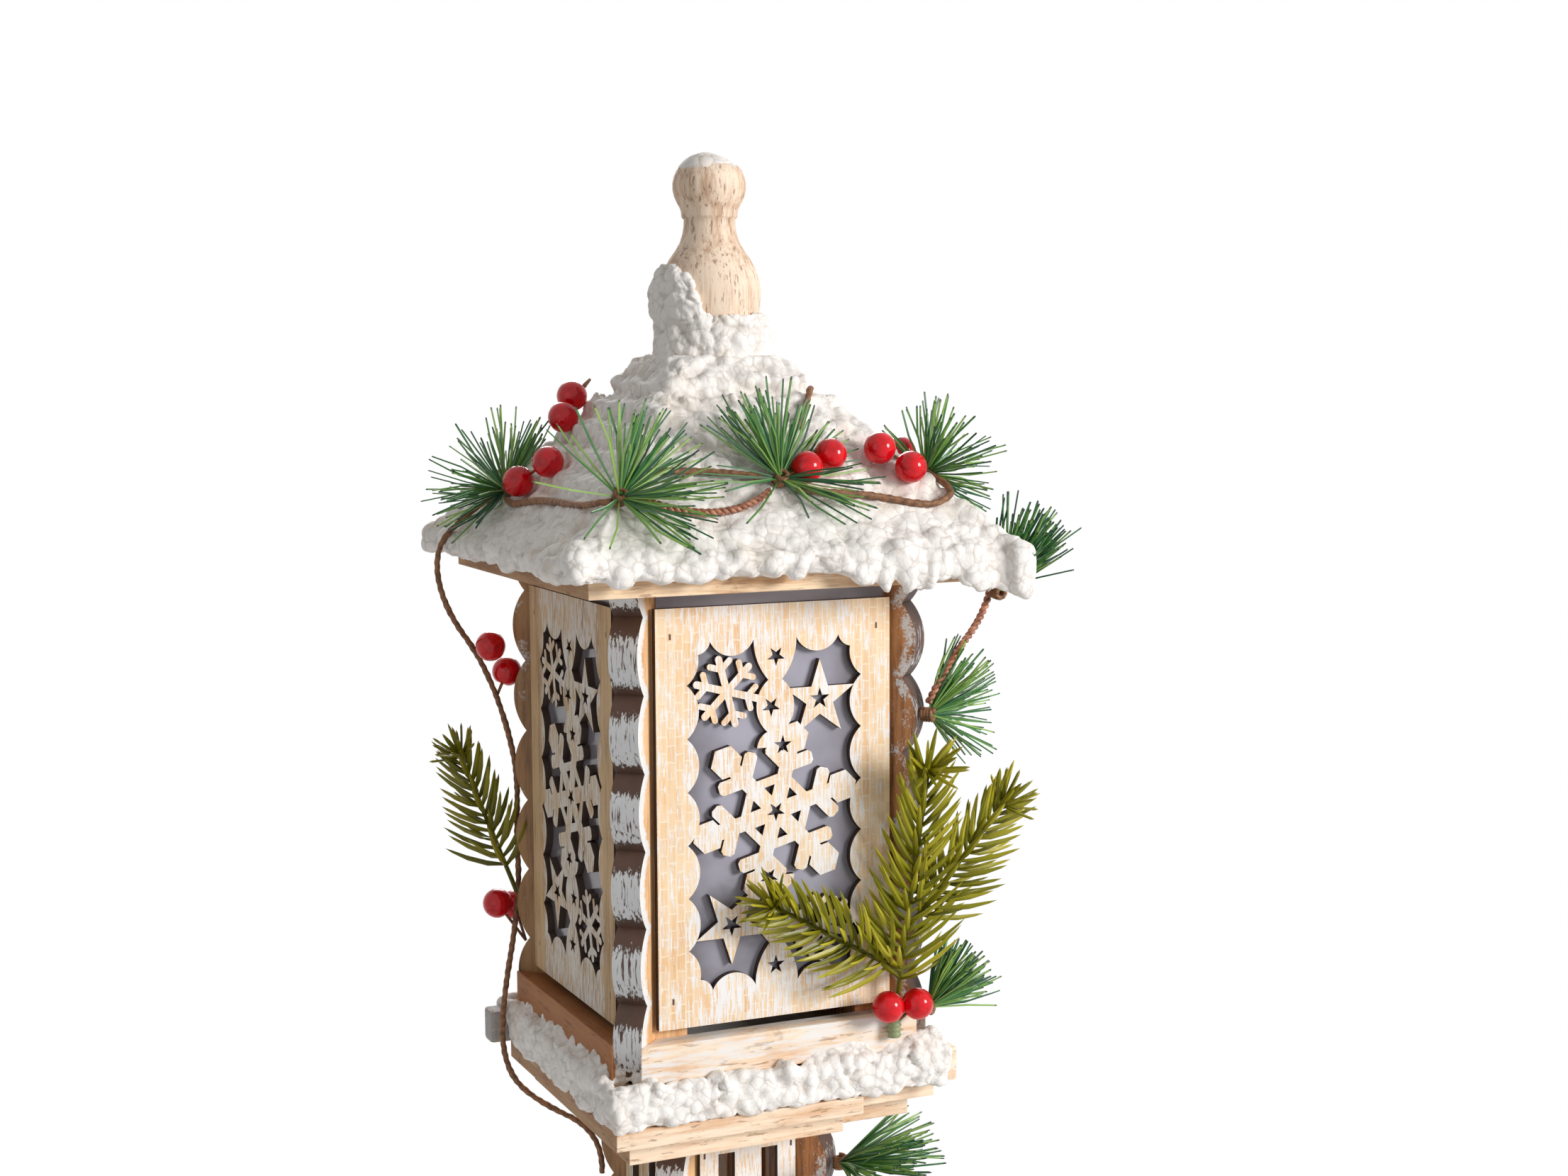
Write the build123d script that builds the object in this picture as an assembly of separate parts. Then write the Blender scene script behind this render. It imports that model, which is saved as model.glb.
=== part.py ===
from build123d import *
import math
import os

# Christmas lamp post: a wooden lantern with fretwork panels on a hollow square post.
# Millimetres, +Z up, origin on the floor under the post's axis, front towards -Y.

# Foot
base_half = 105.0
base_board_height = 12.0
base_frame_half = 92.0
base_frame_height = 12.0
base_frame_width = 60.0
base_step_half = 72.0
base_step_height = 10.0
base_step_width = 40.0
base_snow_height = 16.0
base_snow_foot = 5.0
base_snow_inset = 10.0

# Plywood, scalloped boards and brads
ply = 3.4
board_thickness = 13.3
lobe_depth = 6.3
lobe_pitch = 33.0
brad_width = 1.0
brad_height = 2.6
brad_length = 15.0

# Post
post_length = 470.0
post_plane = 36.4
post_stile = 14.0
post_cusp_proud = 3.3
post_edge_gap = 0.2
post_slot_width = 8.0
post_slot_offset = 10.5
post_slot_rows = 4
post_slot_bridge = 28.0
post_star = 7.0
post_brad_inset = 2.2
post_brad_end = 14.0

# Frames of boards under the lantern
lower_frame_half = 68.9
lower_frame_height = 9.8
lower_frame_width = 37.0
upper_frame_half = 77.7
upper_frame_height = 8.2
upper_frame_width = 40.0
frame_setback = 9.5

# Ledge and lantern floor
floor_half = 64.5
floor_height = 17.6
ledge_height = 15.6
ledge_width = 11.5
ledge_front_reach = 9.0
ledge_back_reach = 12.0
ledge_snow_thickness = 4.0
ledge_snow_rise = 3.2
ledge_snow_lump = 5.5

# Lantern body
panel_plane = 69.0
panel_height = 180.0
panel_lift = 21.0
panel_edge_gap = 1.4
pane_thickness = 1.6
pane_inset = 1.8
pane_rise = 1.2
lantern_stile = 24.0
lantern_cusp_proud = 1.5
brad_side_inset = 6.6
brad_end_inset = 12.0
rail_depth = 11.0
rail_height = 16.5
rail_gap = 0.2
eave_gap = 7.6

# Fretwork drawing: margins on the panel, then sizes inside a 40.8 by 75 half field
fret_side_margin = 14.0
fret_end_margin = 15.0
field_half = 40.8
field_height = 75.0
side_cusps = 6
side_cusp_pitch = 22.8
side_lobe_rise = 5.4
top_lobe_rise = 6.5
flake_hub = 15.5
flake_arm_width = 6.8
flake_arm_reach = 27.0
flake_head_radius = 7.4
flake_head_place = 32.4
flake_branch_place = 20.4
flake_branch_width = 6.2
flake_branch_reach = 12.5
flake_tilt = 15.0
small_flake_place = (-22.5, 53.4)
small_flake_reach = 14.4
small_flake_width = 3.2
small_branch_place = 9.8
small_branch_reach = 5.4
small_branch_width = 2.7
star_place = (21.0, 47.6)
star_radius = 17.3
star_hole_radius = 4.9
pierced_star_radius = 4.4

# Door on the rear side, its hinges and turn button
door_half = 49.0
door_gap = 0.6
door_pane_gap = 0.3
hinge_end_inset = 35.0
hinge_length = 15.0
hinge_leaf = 4.2
hinge_leaf_thickness = 0.6
knuckle_radius = 1.3
knuckle_lift = 0.3
knuckle_gap = 0.2
pin_radius = 0.65
pin_clearance = 0.15
button_width = 4.2
button_long = 11.0
button_short = 3.6
button_thickness = 2.4
button_lift = 0.3
screw_radius = 0.9
screw_head_radius = 1.9
screw_head_height = 1.0

# Battery lamp on the lantern floor
case_length = 62.0
case_depth = 50.0
case_height = 22.0
case_wall = 2.2
slide_fit = 0.3
cover_thickness = 2.0
cover_groove = 1.2
cover_rear_lip = 0.8
cell_radius = 7.1
cell_length = 49.5
cell_nub_radius = 2.6
cell_nub_length = 1.2
cell_pitch = 14.5
cell_fit = 0.1
led_board_radius = 13.0
led_board_thickness = 1.6
led_size = 3.5
led_height = 1.2
led_ring = 7.5
dome_radius = 17.0
dome_wall = 1.6
dome_height = 25.0
dome_shift = 2.0
switch_length = 5.2
switch_width = 4.2
switch_rise = 2.2
switch_travel = 5.0
switch_pocket_depth = 1.5
switch_place = -20.4

# Roof
eave_half = 92.0
eave_height = 9.6
roof_foot = 90.0
roof_top = 30.0
roof_rise = 66.0
course_count = 5
course_butt = 5.0
course_head = 2.0
hip_gap = 0.2
cap_tier_half = 33.0
cap_tier_height = 5.0
cap_half = 24.0
cap_height = 12.0

# Finial
finial_height = 93.4
finial_foot_radius = 19.0
finial_waist_radius = 17.5
finial_belly_radius = 22.8
finial_neck_radius = 11.3
finial_bead_radius = 12.6
finial_ball_radius = 16.5
finial_top_radius = 7.0

# Snow paste on the roof and the finial
snow_lip_drop = 3.0
snow_lip_out = 4.0
snow_edge_out = 11.5
snow_edge_rise = 4.0
snow_corner = 7.0
snow_lumps_per_side = 6
snow_lump_radius = 6.5
snow_corner_lump = 8.0
snow_side_thickness = 3.0
snow_side_arc = 122.0
snow_side_turn = 115.0
snow_ring_thickness = 4.0
snow_cap_radius = 9.0
snow_cap_height = 3.0

# Garland
twine_radius = 1.6
rope_radius = 2.4
berry_radius = 7.0
seat_gap = 0.3
knot_radius = 4.0
knot_height = 7.0
needle_width = 0.9
needle_fan_steps = 15
needle_tiers = (14.0, 30.0, 48.0)
needle_low_tiers = (6.0, 16.0, 28.0)
fir_stem_radius = 1.5
fir_needle_width = 2.4
fir_needle_thickness = 0.9
fir_needle_length = 21.0
fir_needle_pitch = 5.5
fir_needle_lean = 48.0

# Heights that follow from the stack
base_frame_z = base_board_height
base_step_z = base_frame_z + base_frame_height
post_z = base_step_z + base_step_height
post_top = post_z + post_length
lower_frame_z = post_top
upper_frame_z = lower_frame_z + lower_frame_height
ledge_z = upper_frame_z + upper_frame_height
floor_top = ledge_z + floor_height
panel_z = floor_top + panel_lift
panel_top = panel_z + panel_height
eave_z = panel_top + eave_gap
roof_z = eave_z + eave_height
cap_z = roof_z + roof_rise
finial_z = cap_z + cap_tier_height + cap_height
finial_top = finial_z + finial_height

# Widths that follow from the planes
diagonal = math.sqrt(2.0)
fin_side = board_thickness / diagonal
post_seat = post_plane - ply
post_panel_half = post_seat - fin_side - post_edge_gap
lantern_back = panel_plane - ply
lantern_seat = lantern_back - pane_thickness
panel_half = lantern_back - fin_side - panel_edge_gap
pane_half = panel_half - pane_inset
ledge_half = floor_half + seat_gap + ledge_width

# Plan corners, named by what stands there, with their turn from the rear right one
corners = {"rear_right": 0, "rear_left": 90, "front_left": 180, "front_right": 270}
# Sides, with their turn from the front one
sides = {"front": 0, "right": 90, "rear": 180, "left": 270}


def block(x_range, y_range, z_range):
    """Box between three pairs of limits."""
    size = [pair[1] - pair[0] for pair in (x_range, y_range, z_range)]
    corner = Pos(x_range[0], y_range[0], z_range[0])
    return corner * Box(*size, align=(Align.MIN, Align.MIN, Align.MIN))


def turned(shape, angle):
    """Shape turned about the post's axis."""
    return Rot(0, 0, angle) * shape


def save(name, shapes):
    """Write one node, a single solid or a group of separate ones."""
    group = shapes if isinstance(shapes, (list, tuple)) else [shapes]
    solids = [solid for shape in group for solid in shape.solids()]
    target = solids[0] if len(solids) == 1 else Compound(children=solids)
    export_step(target, os.path.join("parts", name + ".step"))


# Scalloped corner boards

def scalloped_board(seat, stile, cusp_radius, bottom, top):
    """Square stile in the rear right corner with a scalloped fin standing out along the diagonal."""
    lobe_radius = (lobe_pitch ** 2 / 4 + lobe_depth ** 2) / (2 * lobe_depth)
    lobe_centre = cusp_radius + lobe_depth - lobe_radius
    fin_inner = (seat - stile / 2) * diagonal
    height = top - bottom
    centre_height = (bottom + top) / 2
    blank = Pos((fin_inner + cusp_radius) / 2, centre_height) * Rectangle(cusp_radius - fin_inner, height)
    lobes = [
        Pos(lobe_centre, bottom + (number + 0.5) * lobe_pitch) * Circle(lobe_radius)
        for number in range(math.ceil(height / lobe_pitch))
    ]
    reach = cusp_radius + 2 * lobe_depth - fin_inner
    window = Pos(fin_inner + reach / 2, centre_height) * Rectangle(reach, height)
    outline = (blank + lobes) & window
    across = Plane(origin=(0, 0, 0), x_dir=(1, 1, 0), z_dir=(1, -1, 0))
    fin = extrude(across * outline, amount=board_thickness / 2, both=True)
    post = block((seat - stile, seat), (seat - stile, seat), (bottom, top))
    return post + fin


def on_fin(corner, seat, cusp_radius, rise, lift, aside=0.0):
    """Point over a fin's scalloped edge, rise above its foot, moved aside along the edge's thickness."""
    lobe_radius = (lobe_pitch ** 2 / 4 + lobe_depth ** 2) / (2 * lobe_depth)
    offset = rise % lobe_pitch - lobe_pitch / 2
    bulge = math.sqrt(lobe_radius ** 2 - offset ** 2) - lobe_radius + lobe_depth
    radius = cusp_radius + bulge + lift
    point = Vector((radius - aside) / diagonal, (radius + aside) / diagonal, seat + rise)
    return point.rotate(Axis.Z, corners[corner])


def brad_set(plane, half, inset, heights):
    """Brads through the front panel, flush with its face, at both edges."""
    found = []
    for side in (-1, 1):
        for height in heights:
            middle = side * (half - inset)
            found.append(
                block(
                    (middle - brad_width / 2, middle + brad_width / 2),
                    (-plane, -plane + brad_length),
                    (height - brad_height / 2, height + brad_height / 2),
                )
            )
    return found


# Fretwork drawing

stretch_u = (panel_half - fret_side_margin) / field_half
stretch_v = (panel_height / 2 - fret_end_margin) / field_height


def at(point):
    """Place a point of the fretwork field on the panel."""
    return (point[0] * stretch_u, point[1] * stretch_v)


def polar(radius, angle, centre=(0.0, 0.0)):
    turn = math.radians(angle)
    return (centre[0] + radius * math.cos(turn), centre[1] + radius * math.sin(turn))


def bowed(start, end, rise):
    """Arc between two field points that bows to its left by rise."""
    length = math.dist(start, end)
    middle_u = (start[0] + end[0]) / 2 + (start[1] - end[1]) / length * rise
    middle_v = (start[1] + end[1]) / 2 + (end[0] - start[0]) / length * rise
    return ThreePointArc(at(start), at((middle_u, middle_v)), at(end))


def outline_face(points, rises):
    """Closed face through field points; a rise of 0 is a straight edge."""
    edges = []
    for number, rise in enumerate(rises):
        start = points[number]
        end = points[(number + 1) % len(points)]
        edges.append(bowed(start, end, rise) if rise else Line(at(start), at(end)))
    return make_face(edges)


def polygon(points):
    return make_face(Polyline(*[at(point) for point in points], close=True))


def star(centre, radius, turn, inner_share=0.385):
    points = []
    for number in range(5):
        points.append(polar(radius, turn + 72 * number, centre))
        points.append(polar(radius * inner_share, turn + 72 * number + 36, centre))
    return polygon(points)


def placed(points, centre, angle):
    """Points of one arm turned and moved to their flake."""
    result = []
    for u, v in points:
        radius = math.hypot(u, v)
        result.append(polar(radius, math.degrees(math.atan2(v, u)) + angle, centre))
    return result


def round_bar(start, end, width, centre, angle):
    """Bar with round ends between two points of a flake's arm."""
    length = math.dist(start, end)
    side_u = (start[1] - end[1]) / length * width / 2
    side_v = (end[0] - start[0]) / length * width / 2
    ends = [
        (start[0] - side_u, start[1] - side_v),
        (end[0] - side_u, end[1] - side_v),
        (end[0] + side_u, end[1] + side_v),
        (start[0] + side_u, start[1] + side_v),
    ]
    return outline_face(placed(ends, centre, angle), (0, -width / 2 * 0.98, 0, -width / 2 * 0.98))


def small_flake(centre):
    bars = []
    for number in range(6):
        angle = flake_tilt + 30 + 60 * number
        bars.append(round_bar((0, 0), (small_flake_reach, 0), small_flake_width, centre, angle))
        for side in (-60, 60):
            tip = polar(small_branch_reach, side, (small_branch_place, 0))
            bars.append(round_bar((small_branch_place, 0), tip, small_branch_width, centre, angle))
    return bars


def big_flake():
    """Large flake with pointed heads, blunt branches and a six-sided hub."""
    wood = []
    hub_reach = flake_hub / math.cos(math.radians(30))
    wood.append(polygon([polar(hub_reach, flake_tilt + 60 * number) for number in range(6)]))
    half = flake_branch_width / 2
    blunt = half * 0.45
    for number in range(6):
        angle = flake_tilt + 60 * number
        arm = flake_arm_width / 2
        bar = [(0, -arm), (flake_arm_reach, -arm), (flake_arm_reach, arm), (0, arm)]
        wood.append(polygon(placed(bar, (0, 0), angle)))
        head = [polar(flake_head_radius, 60 * corner, (flake_head_place, 0)) for corner in range(6)]
        wood.append(polygon(placed(head, (0, 0), angle)))
        for side in (-60, 60):
            blade = [
                (0, -half),
                (flake_branch_reach - blunt, -half),
                (flake_branch_reach, -half + blunt),
                (flake_branch_reach, half - blunt),
                (flake_branch_reach - blunt, half),
                (0, half),
            ]
            branch = [
                (flake_branch_place + u, v) for u, v in placed(blade, (0, 0), side)
            ]
            wood.append(polygon(placed(branch, (0, 0), angle)))
    return wood


def hub_holes():
    holes = []
    for number in range(6):
        middle = flake_tilt + 30 + 60 * number
        holes.append(polygon([polar(7.2, middle), polar(11.9, middle - 12.5), polar(11.9, middle + 12.5)]))
    return holes


def fret_opening():
    """Cusped field of the fretwork, bowed inward between its cusps."""
    first_cusp = -(side_cusps - 1) / 2 * side_cusp_pitch
    right = [(field_half, first_cusp + number * side_cusp_pitch) for number in range(side_cusps)]
    top = [(35.6, 69.8), (30.0, field_height), (10.0, field_height), (-10.0, field_height), (-30.0, field_height)]
    half_points = right + top + [(-35.6, 69.8)]
    half_rises = [side_lobe_rise] * (side_cusps - 1) + [2.0, 1.2, top_lobe_rise, 0, top_lobe_rise, 1.2, 2.0]
    points = half_points + [(-u, -v) for u, v in half_points]
    return outline_face(points, half_rises + half_rises)


def upper_half_wood():
    """What fills the upper half of the field: bridge lobes, star and small flake."""
    bridge = outline_face(
        [(-10, 75.5), (-3.2, 57.2), (-3.3, 34.4), (3.3, 34.4), (3.2, 57.2), (10, 75.5)],
        (-1.9, -5.6, 0, -5.6, -1.9, 0),
    )
    neck = outline_face([(-3.3, 35.0), (-8.6, 28.0), (13.2, 28.0), (9.5, 35.0)], (-1.3, 0, -1.0, 0))
    return [bridge, neck, star(star_place, star_radius, 90)] + small_flake(small_flake_place)


def upper_half_holes():
    return [
        star((0.4, 67.3), pierced_star_radius, -90),
        star((-2.0, 45.6), pierced_star_radius, -90),
        star((3.4, 28.6), pierced_star_radius, 90),
        star(star_place, star_hole_radius, 90),
    ]


def fret_sheet(half):
    """Whole fretwork panel as a flat drawing, centred on its middle."""
    sheet = Rectangle(2 * half, panel_height) - fret_opening()
    upper = upper_half_wood()
    lower = [Rot(0, 0, 180) * face for face in upper]
    wood = sheet + (upper + lower + big_flake())
    holes = upper_half_holes()
    holes += [Rot(0, 0, 180) * face for face in holes]
    holes += hub_holes()
    holes.append(star((0, 0), pierced_star_radius, -90))
    return wood - holes


def standing(sheet, plane, middle_height):
    """Flat drawing stood up as a front panel, its face on the given plane."""
    upright = Plane(origin=(0, -plane, middle_height), x_dir=(1, 0, 0), z_dir=(0, -1, 0))
    return extrude(upright * sheet, amount=-ply)


# Frames, ledge and base

def pinwheel(half, width, setback, bottom, height):
    """Four boards laid like a pinwheel, every second one set back at its free end."""
    boards = []
    for number in range(4):
        start = -half + (setback if number % 2 else 0.0)
        board = block((start, half - width), (-half, -half + width), (bottom, bottom + height))
        boards.append(turned(board, 90 * number))
    return boards


def mitred_rail():
    """Front bottom rail, its ends cut to the faces of the diagonal fins."""
    back = lantern_seat - fin_side - rail_gap
    front = back + rail_depth
    plan = Polyline(
        (-back, -lantern_seat),
        (-front, -lantern_seat - rail_depth),
        (front, -lantern_seat - rail_depth),
        (back, -lantern_seat),
        close=True,
    )
    return Pos(0, 0, floor_top) * extrude(make_face(plan), amount=rail_height)


# Roof

def lapped_slope():
    """Front slope of lapped slats, mitred at both hips."""
    length = math.hypot(roof_foot - roof_top, roof_rise)
    out_step = (roof_top - roof_foot) / course_count
    up_step = roof_rise / course_count
    normal = (roof_rise / length, (roof_foot - roof_top) / length)
    points = [(roof_foot, roof_z)]
    for number in range(course_count):
        foot = (roof_foot + out_step * number, roof_z + up_step * number)
        head = (foot[0] + out_step, foot[1] + up_step)
        points.append((foot[0] + normal[0] * course_butt, foot[1] + normal[1] * course_butt))
        points.append((head[0] + normal[0] * course_head, head[1] + normal[1] * course_head))
    points.append((roof_top, cap_z))
    upright = Plane(origin=(0, 0, 0), x_dir=(0, -1, 0), z_dir=(-1, 0, 0))
    profile = make_face(Polyline(*points, close=True))
    reach = roof_foot + 2 * course_butt
    bar = extrude(upright * profile, amount=reach, both=True)
    limit = block((-reach, reach), (-reach, 0), (roof_z, cap_z))
    wedge_plan = Polyline((0, -hip_gap), (-reach, -reach - hip_gap), (reach, -reach - hip_gap), close=True)
    wedge = Pos(0, 0, roof_z) * extrude(make_face(wedge_plan), amount=roof_rise)
    return bar & limit & wedge


def finial_level(share):
    return finial_z + finial_height * share


def finial_belly(swell=0.0):
    """Belly of the turned knob, swollen by the given thickness for what lies on it."""
    return ThreePointArc(
        (finial_waist_radius + swell, finial_level(0.09)),
        (finial_belly_radius + swell, finial_level(0.36)),
        (finial_belly_radius * 0.815 + swell, finial_level(0.51)),
    )


def finial_profile():
    shoulder = finial_top_radius * 1.5
    edges = [
        Line((0, finial_level(0)), (finial_foot_radius, finial_level(0))),
        Line((finial_foot_radius, finial_level(0)), (finial_foot_radius, finial_level(0.055))),
        Line((finial_foot_radius, finial_level(0.055)), (finial_waist_radius, finial_level(0.09))),
        finial_belly(),
        ThreePointArc(
            (finial_belly_radius * 0.815, finial_level(0.51)),
            (finial_neck_radius * 1.1, finial_level(0.61)),
            (finial_neck_radius, finial_level(0.69)),
        ),
        ThreePointArc(
            (finial_neck_radius, finial_level(0.69)),
            (finial_bead_radius, finial_level(0.72)),
            (finial_neck_radius, finial_level(0.75)),
        ),
        ThreePointArc(
            (finial_neck_radius, finial_level(0.75)),
            (finial_ball_radius, finial_level(0.86)),
            (shoulder, finial_level(0.97)),
        ),
        Line((shoulder, finial_level(0.97)), (finial_top_radius, finial_level(1))),
        Line((finial_top_radius, finial_level(1)), (0, finial_level(1))),
        Line((0, finial_level(1)), (0, finial_level(0))),
    ]
    return Plane.XZ * make_face(edges)


# Snow paste: half width of the coat at each height above the roof's foot
snow_sections = [
    (-snow_lip_drop, eave_half + snow_lip_out),
    (snow_edge_rise, eave_half + snow_edge_out),
    (17.0, 90.5),
    (29.0, 78.5),
    (41.5, 66.0),
    (54.0, 55.0),
    (64.5, 46.5),
    (68.5, 42.0),
    (71.5, 36.0),
    (80.0, 34.0),
    (84.0, 29.0),
    (88.0, 25.0),
]


def snow_half(height):
    """Half width of the roof's snow at a height above the roof's foot."""
    for low, high in zip(snow_sections, snow_sections[1:]):
        if low[0] <= height <= high[0]:
            share = (height - low[0]) / (high[0] - low[0])
            return low[1] + share * (high[1] - low[1])
    return snow_sections[-1][1]


def on_snow(side, along, height, lift):
    """Point over the snow of one roof side, lifted square to the slope."""
    out = snow_half(height)
    rise = 1.0
    run = out - snow_half(height + rise)
    length = math.hypot(rise, run)
    point = Vector(along, -out - lift * rise / length, roof_z + height + lift * run / length)
    return point.rotate(Axis.Z, sides[side])


def snow_normal(side):
    run = snow_half(29.0) - snow_half(30.0)
    return Vector(0, -1, run).normalized().rotate(Axis.Z, sides[side])


def roof_snow_coat(wood):
    layers = [
        Pos(0, 0, roof_z + height) * RectangleRounded(2 * half, 2 * half, min(snow_corner, half / 3))
        for height, half in snow_sections
    ]
    coat = loft(layers, ruled=True)
    lumps = []
    edge = eave_half + snow_edge_out - snow_lump_radius
    for turn in sides.values():
        for number in range(snow_lumps_per_side):
            share = (number + 0.5) / snow_lumps_per_side * 2 - 1
            radius = snow_lump_radius * (1 + 0.18 * math.sin(2.4 * number + turn))
            place = Pos(share * edge, -edge, roof_z + snow_edge_rise / 2)
            lumps.append(turned(place * Sphere(radius), turn))
        corner_place = edge + snow_corner_lump * 0.3
        lump = Pos(corner_place, -corner_place, roof_z + snow_edge_rise / 2) * Sphere(snow_corner_lump)
        lumps.append(turned(lump, turn))
    return coat + lumps - wood


def finial_snow_patches():
    """Paste round the finial's foot, up one side of its belly, and a cap on its top."""
    skin = finial_belly(seat_gap / 2)
    ring_foot = max(finial_level(0.06), roof_z + snow_sections[-1][0])
    ring_out = finial_foot_radius + snow_ring_thickness
    ring_top = skin @ 0.42
    ring_edges = [
        Line((finial_foot_radius + seat_gap / 2, ring_foot), skin @ 0),
        ThreePointArc(skin @ 0, skin @ 0.2, ring_top),
        Line(ring_top, (ring_out + 1.5, finial_level(0.21))),
        Line((ring_out + 1.5, finial_level(0.21)), (ring_out + 2.5, finial_level(0.13))),
        Line((ring_out + 2.5, finial_level(0.13)), (ring_out + 1.0, ring_foot)),
        Line((ring_out + 1.0, ring_foot), (finial_foot_radius + seat_gap / 2, ring_foot)),
    ]
    ring = revolve(Plane.XZ * make_face(ring_edges), Axis.Z)
    coat = finial_belly(snow_side_thickness)
    ends = [skin @ 0.2, skin @ 0.97, coat @ 0.9, coat @ 0.27]
    edges = [
        ThreePointArc(ends[0], skin @ 0.6, ends[1]),
        Line(ends[1], ends[2]),
        ThreePointArc(ends[2], coat @ 0.6, ends[3]),
        Line(ends[3], ends[0]),
    ]
    patch = revolve(Plane.XZ * make_face(edges), Axis.Z, revolution_arc=snow_side_arc)
    patch = turned(patch, snow_side_turn)
    ball = (snow_cap_radius ** 2 + snow_cap_height ** 2) / (2 * snow_cap_height)
    above = block((-ball, ball), (-ball, ball), (finial_top, finial_top + ball))
    cap = Pos(0, 0, finial_top + snow_cap_height - ball) * Sphere(ball) & above
    return [ring + patch, cap]


# Garland

def corner_radii(points):
    """Largest arcs that the runs beside each corner leave room for."""
    radii = []
    for before, corner, after in zip(points, points[1:], points[2:]):
        turn = (corner - before).get_angle(after - corner)
        shorter = min((corner - before).length, (after - corner).length)
        radii.append(0.45 * shorter / math.tan(math.radians(turn / 2)))
    return radii


def wire_tube(name, points, radius):
    """Stiff wire along straight runs joined by tangent arcs."""
    points = [Vector(point) for point in points]
    radii = corner_radii(points)
    path = FilletPolyline(*points, radius=radii)
    section = Plane(origin=path @ 0, z_dir=path % 0) * Circle(radius)
    tube = sweep(section, path)
    share = tube.volume / (math.pi * radius ** 2 * path.length)
    print(name, "length", round(path.length), "least radius", round(min(radii), 1), "volume share", round(share, 4))
    return tube


def spike(root, tip, across, width, thickness):
    """Tapered four-sided needle from its root to a point."""
    along = (tip - root).normalized()
    side = (across - along * across.dot(along)).normalized()
    up = along.cross(side)
    ring = [
        root + side * width / 2,
        root + up * thickness / 2,
        root - side * width / 2,
        root - up * thickness / 2,
    ]
    faces = [Face(Wire.make_polygon(ring))]
    for number in range(4):
        faces.append(Face(Wire.make_polygon([ring[number], ring[(number + 1) % 4], tip])))
    return Solid(Shell(faces))


def pine_tuft(seat, facing, towards, fan, length, tiers=needle_tiers):
    """Knot of wrapped wire with a fan of pine needles in three tiers."""
    facing = facing.normalized()
    main = (towards - facing * towards.dot(facing)).normalized()
    cross = facing.cross(main)
    knot = Plane(origin=seat, x_dir=main, z_dir=facing) * extrude(
        RegularPolygon(knot_radius, 8), amount=knot_height / 2, both=True
    )
    needles = []
    for tier, lift in enumerate(tiers):
        for number in range(needle_fan_steps):
            share = (number + 0.25 * tier) / (needle_fan_steps - 0.5) * 2 - 1
            turn = math.radians(fan * share)
            rise = math.radians(lift)
            flat = main * math.cos(turn) + cross * math.sin(turn)
            direction = flat * math.cos(rise) + facing * math.sin(rise)
            reach = length * (0.86 + 0.14 * math.cos(5.1 * number + 2.0 * tier))
            root = seat + direction * (knot_radius * 0.5)
            needles.append(spike(root, seat + direction * reach, facing, needle_width, needle_width))
    return knot.fuse(*needles)


def fir_needles(start, end, first, facing):
    """Needles of one fir branch: both sides of the stem and its outer face."""
    along = (end - start).normalized()
    length = (end - start).length
    side = along.cross(facing).normalized()
    lean = math.radians(fir_needle_lean)
    needles = []
    count = int((length - first) / fir_needle_pitch - 0.5)
    for number in range(count + 1):
        foot = start + along * (first + number * fir_needle_pitch)
        shrink = 1.0 - 0.45 * number / (count + 1)
        for outward, over in ((side, 0.25), (-side, 0.25), (facing, 1.0)):
            spread = (outward + facing * over * (outward.dot(facing) < 0.5)).normalized()
            direction = along * math.cos(lean) + spread * math.sin(lean)
            step = along * fir_needle_pitch * (0.4 if outward.dot(facing) > 0.5 else 0.0)
            root = foot + step
            tip = root + direction * fir_needle_length * shrink
            needles.append(spike(root, tip, along.cross(spread), fir_needle_width, fir_needle_thickness))
    return needles


def fir_sprig(branches, facing):
    """Plastic fir sprig: straight stems fused with their needles."""
    stems = []
    needles = []
    for start, end, first in branches:
        start = Vector(start)
        end = Vector(end)
        along = end - start
        stem = Plane(origin=start, z_dir=along) * extrude(Circle(fir_stem_radius), amount=along.length)
        stems.append(stem)
        needles += fir_needles(start, end, first, facing)
    whole = stems[0].fuse(*stems[1:], *needles)
    return whole


def over_snow(side, places, lift):
    return [on_snow(side, along, height, lift) for along, height in places]


def over_hip(side, height, out):
    """Point just off the hip at the right-hand end of a roof side."""
    corner = snow_half(height) + out
    return Vector(corner, -corner, roof_z + height + out).rotate(Axis.Z, sides[side])


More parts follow.
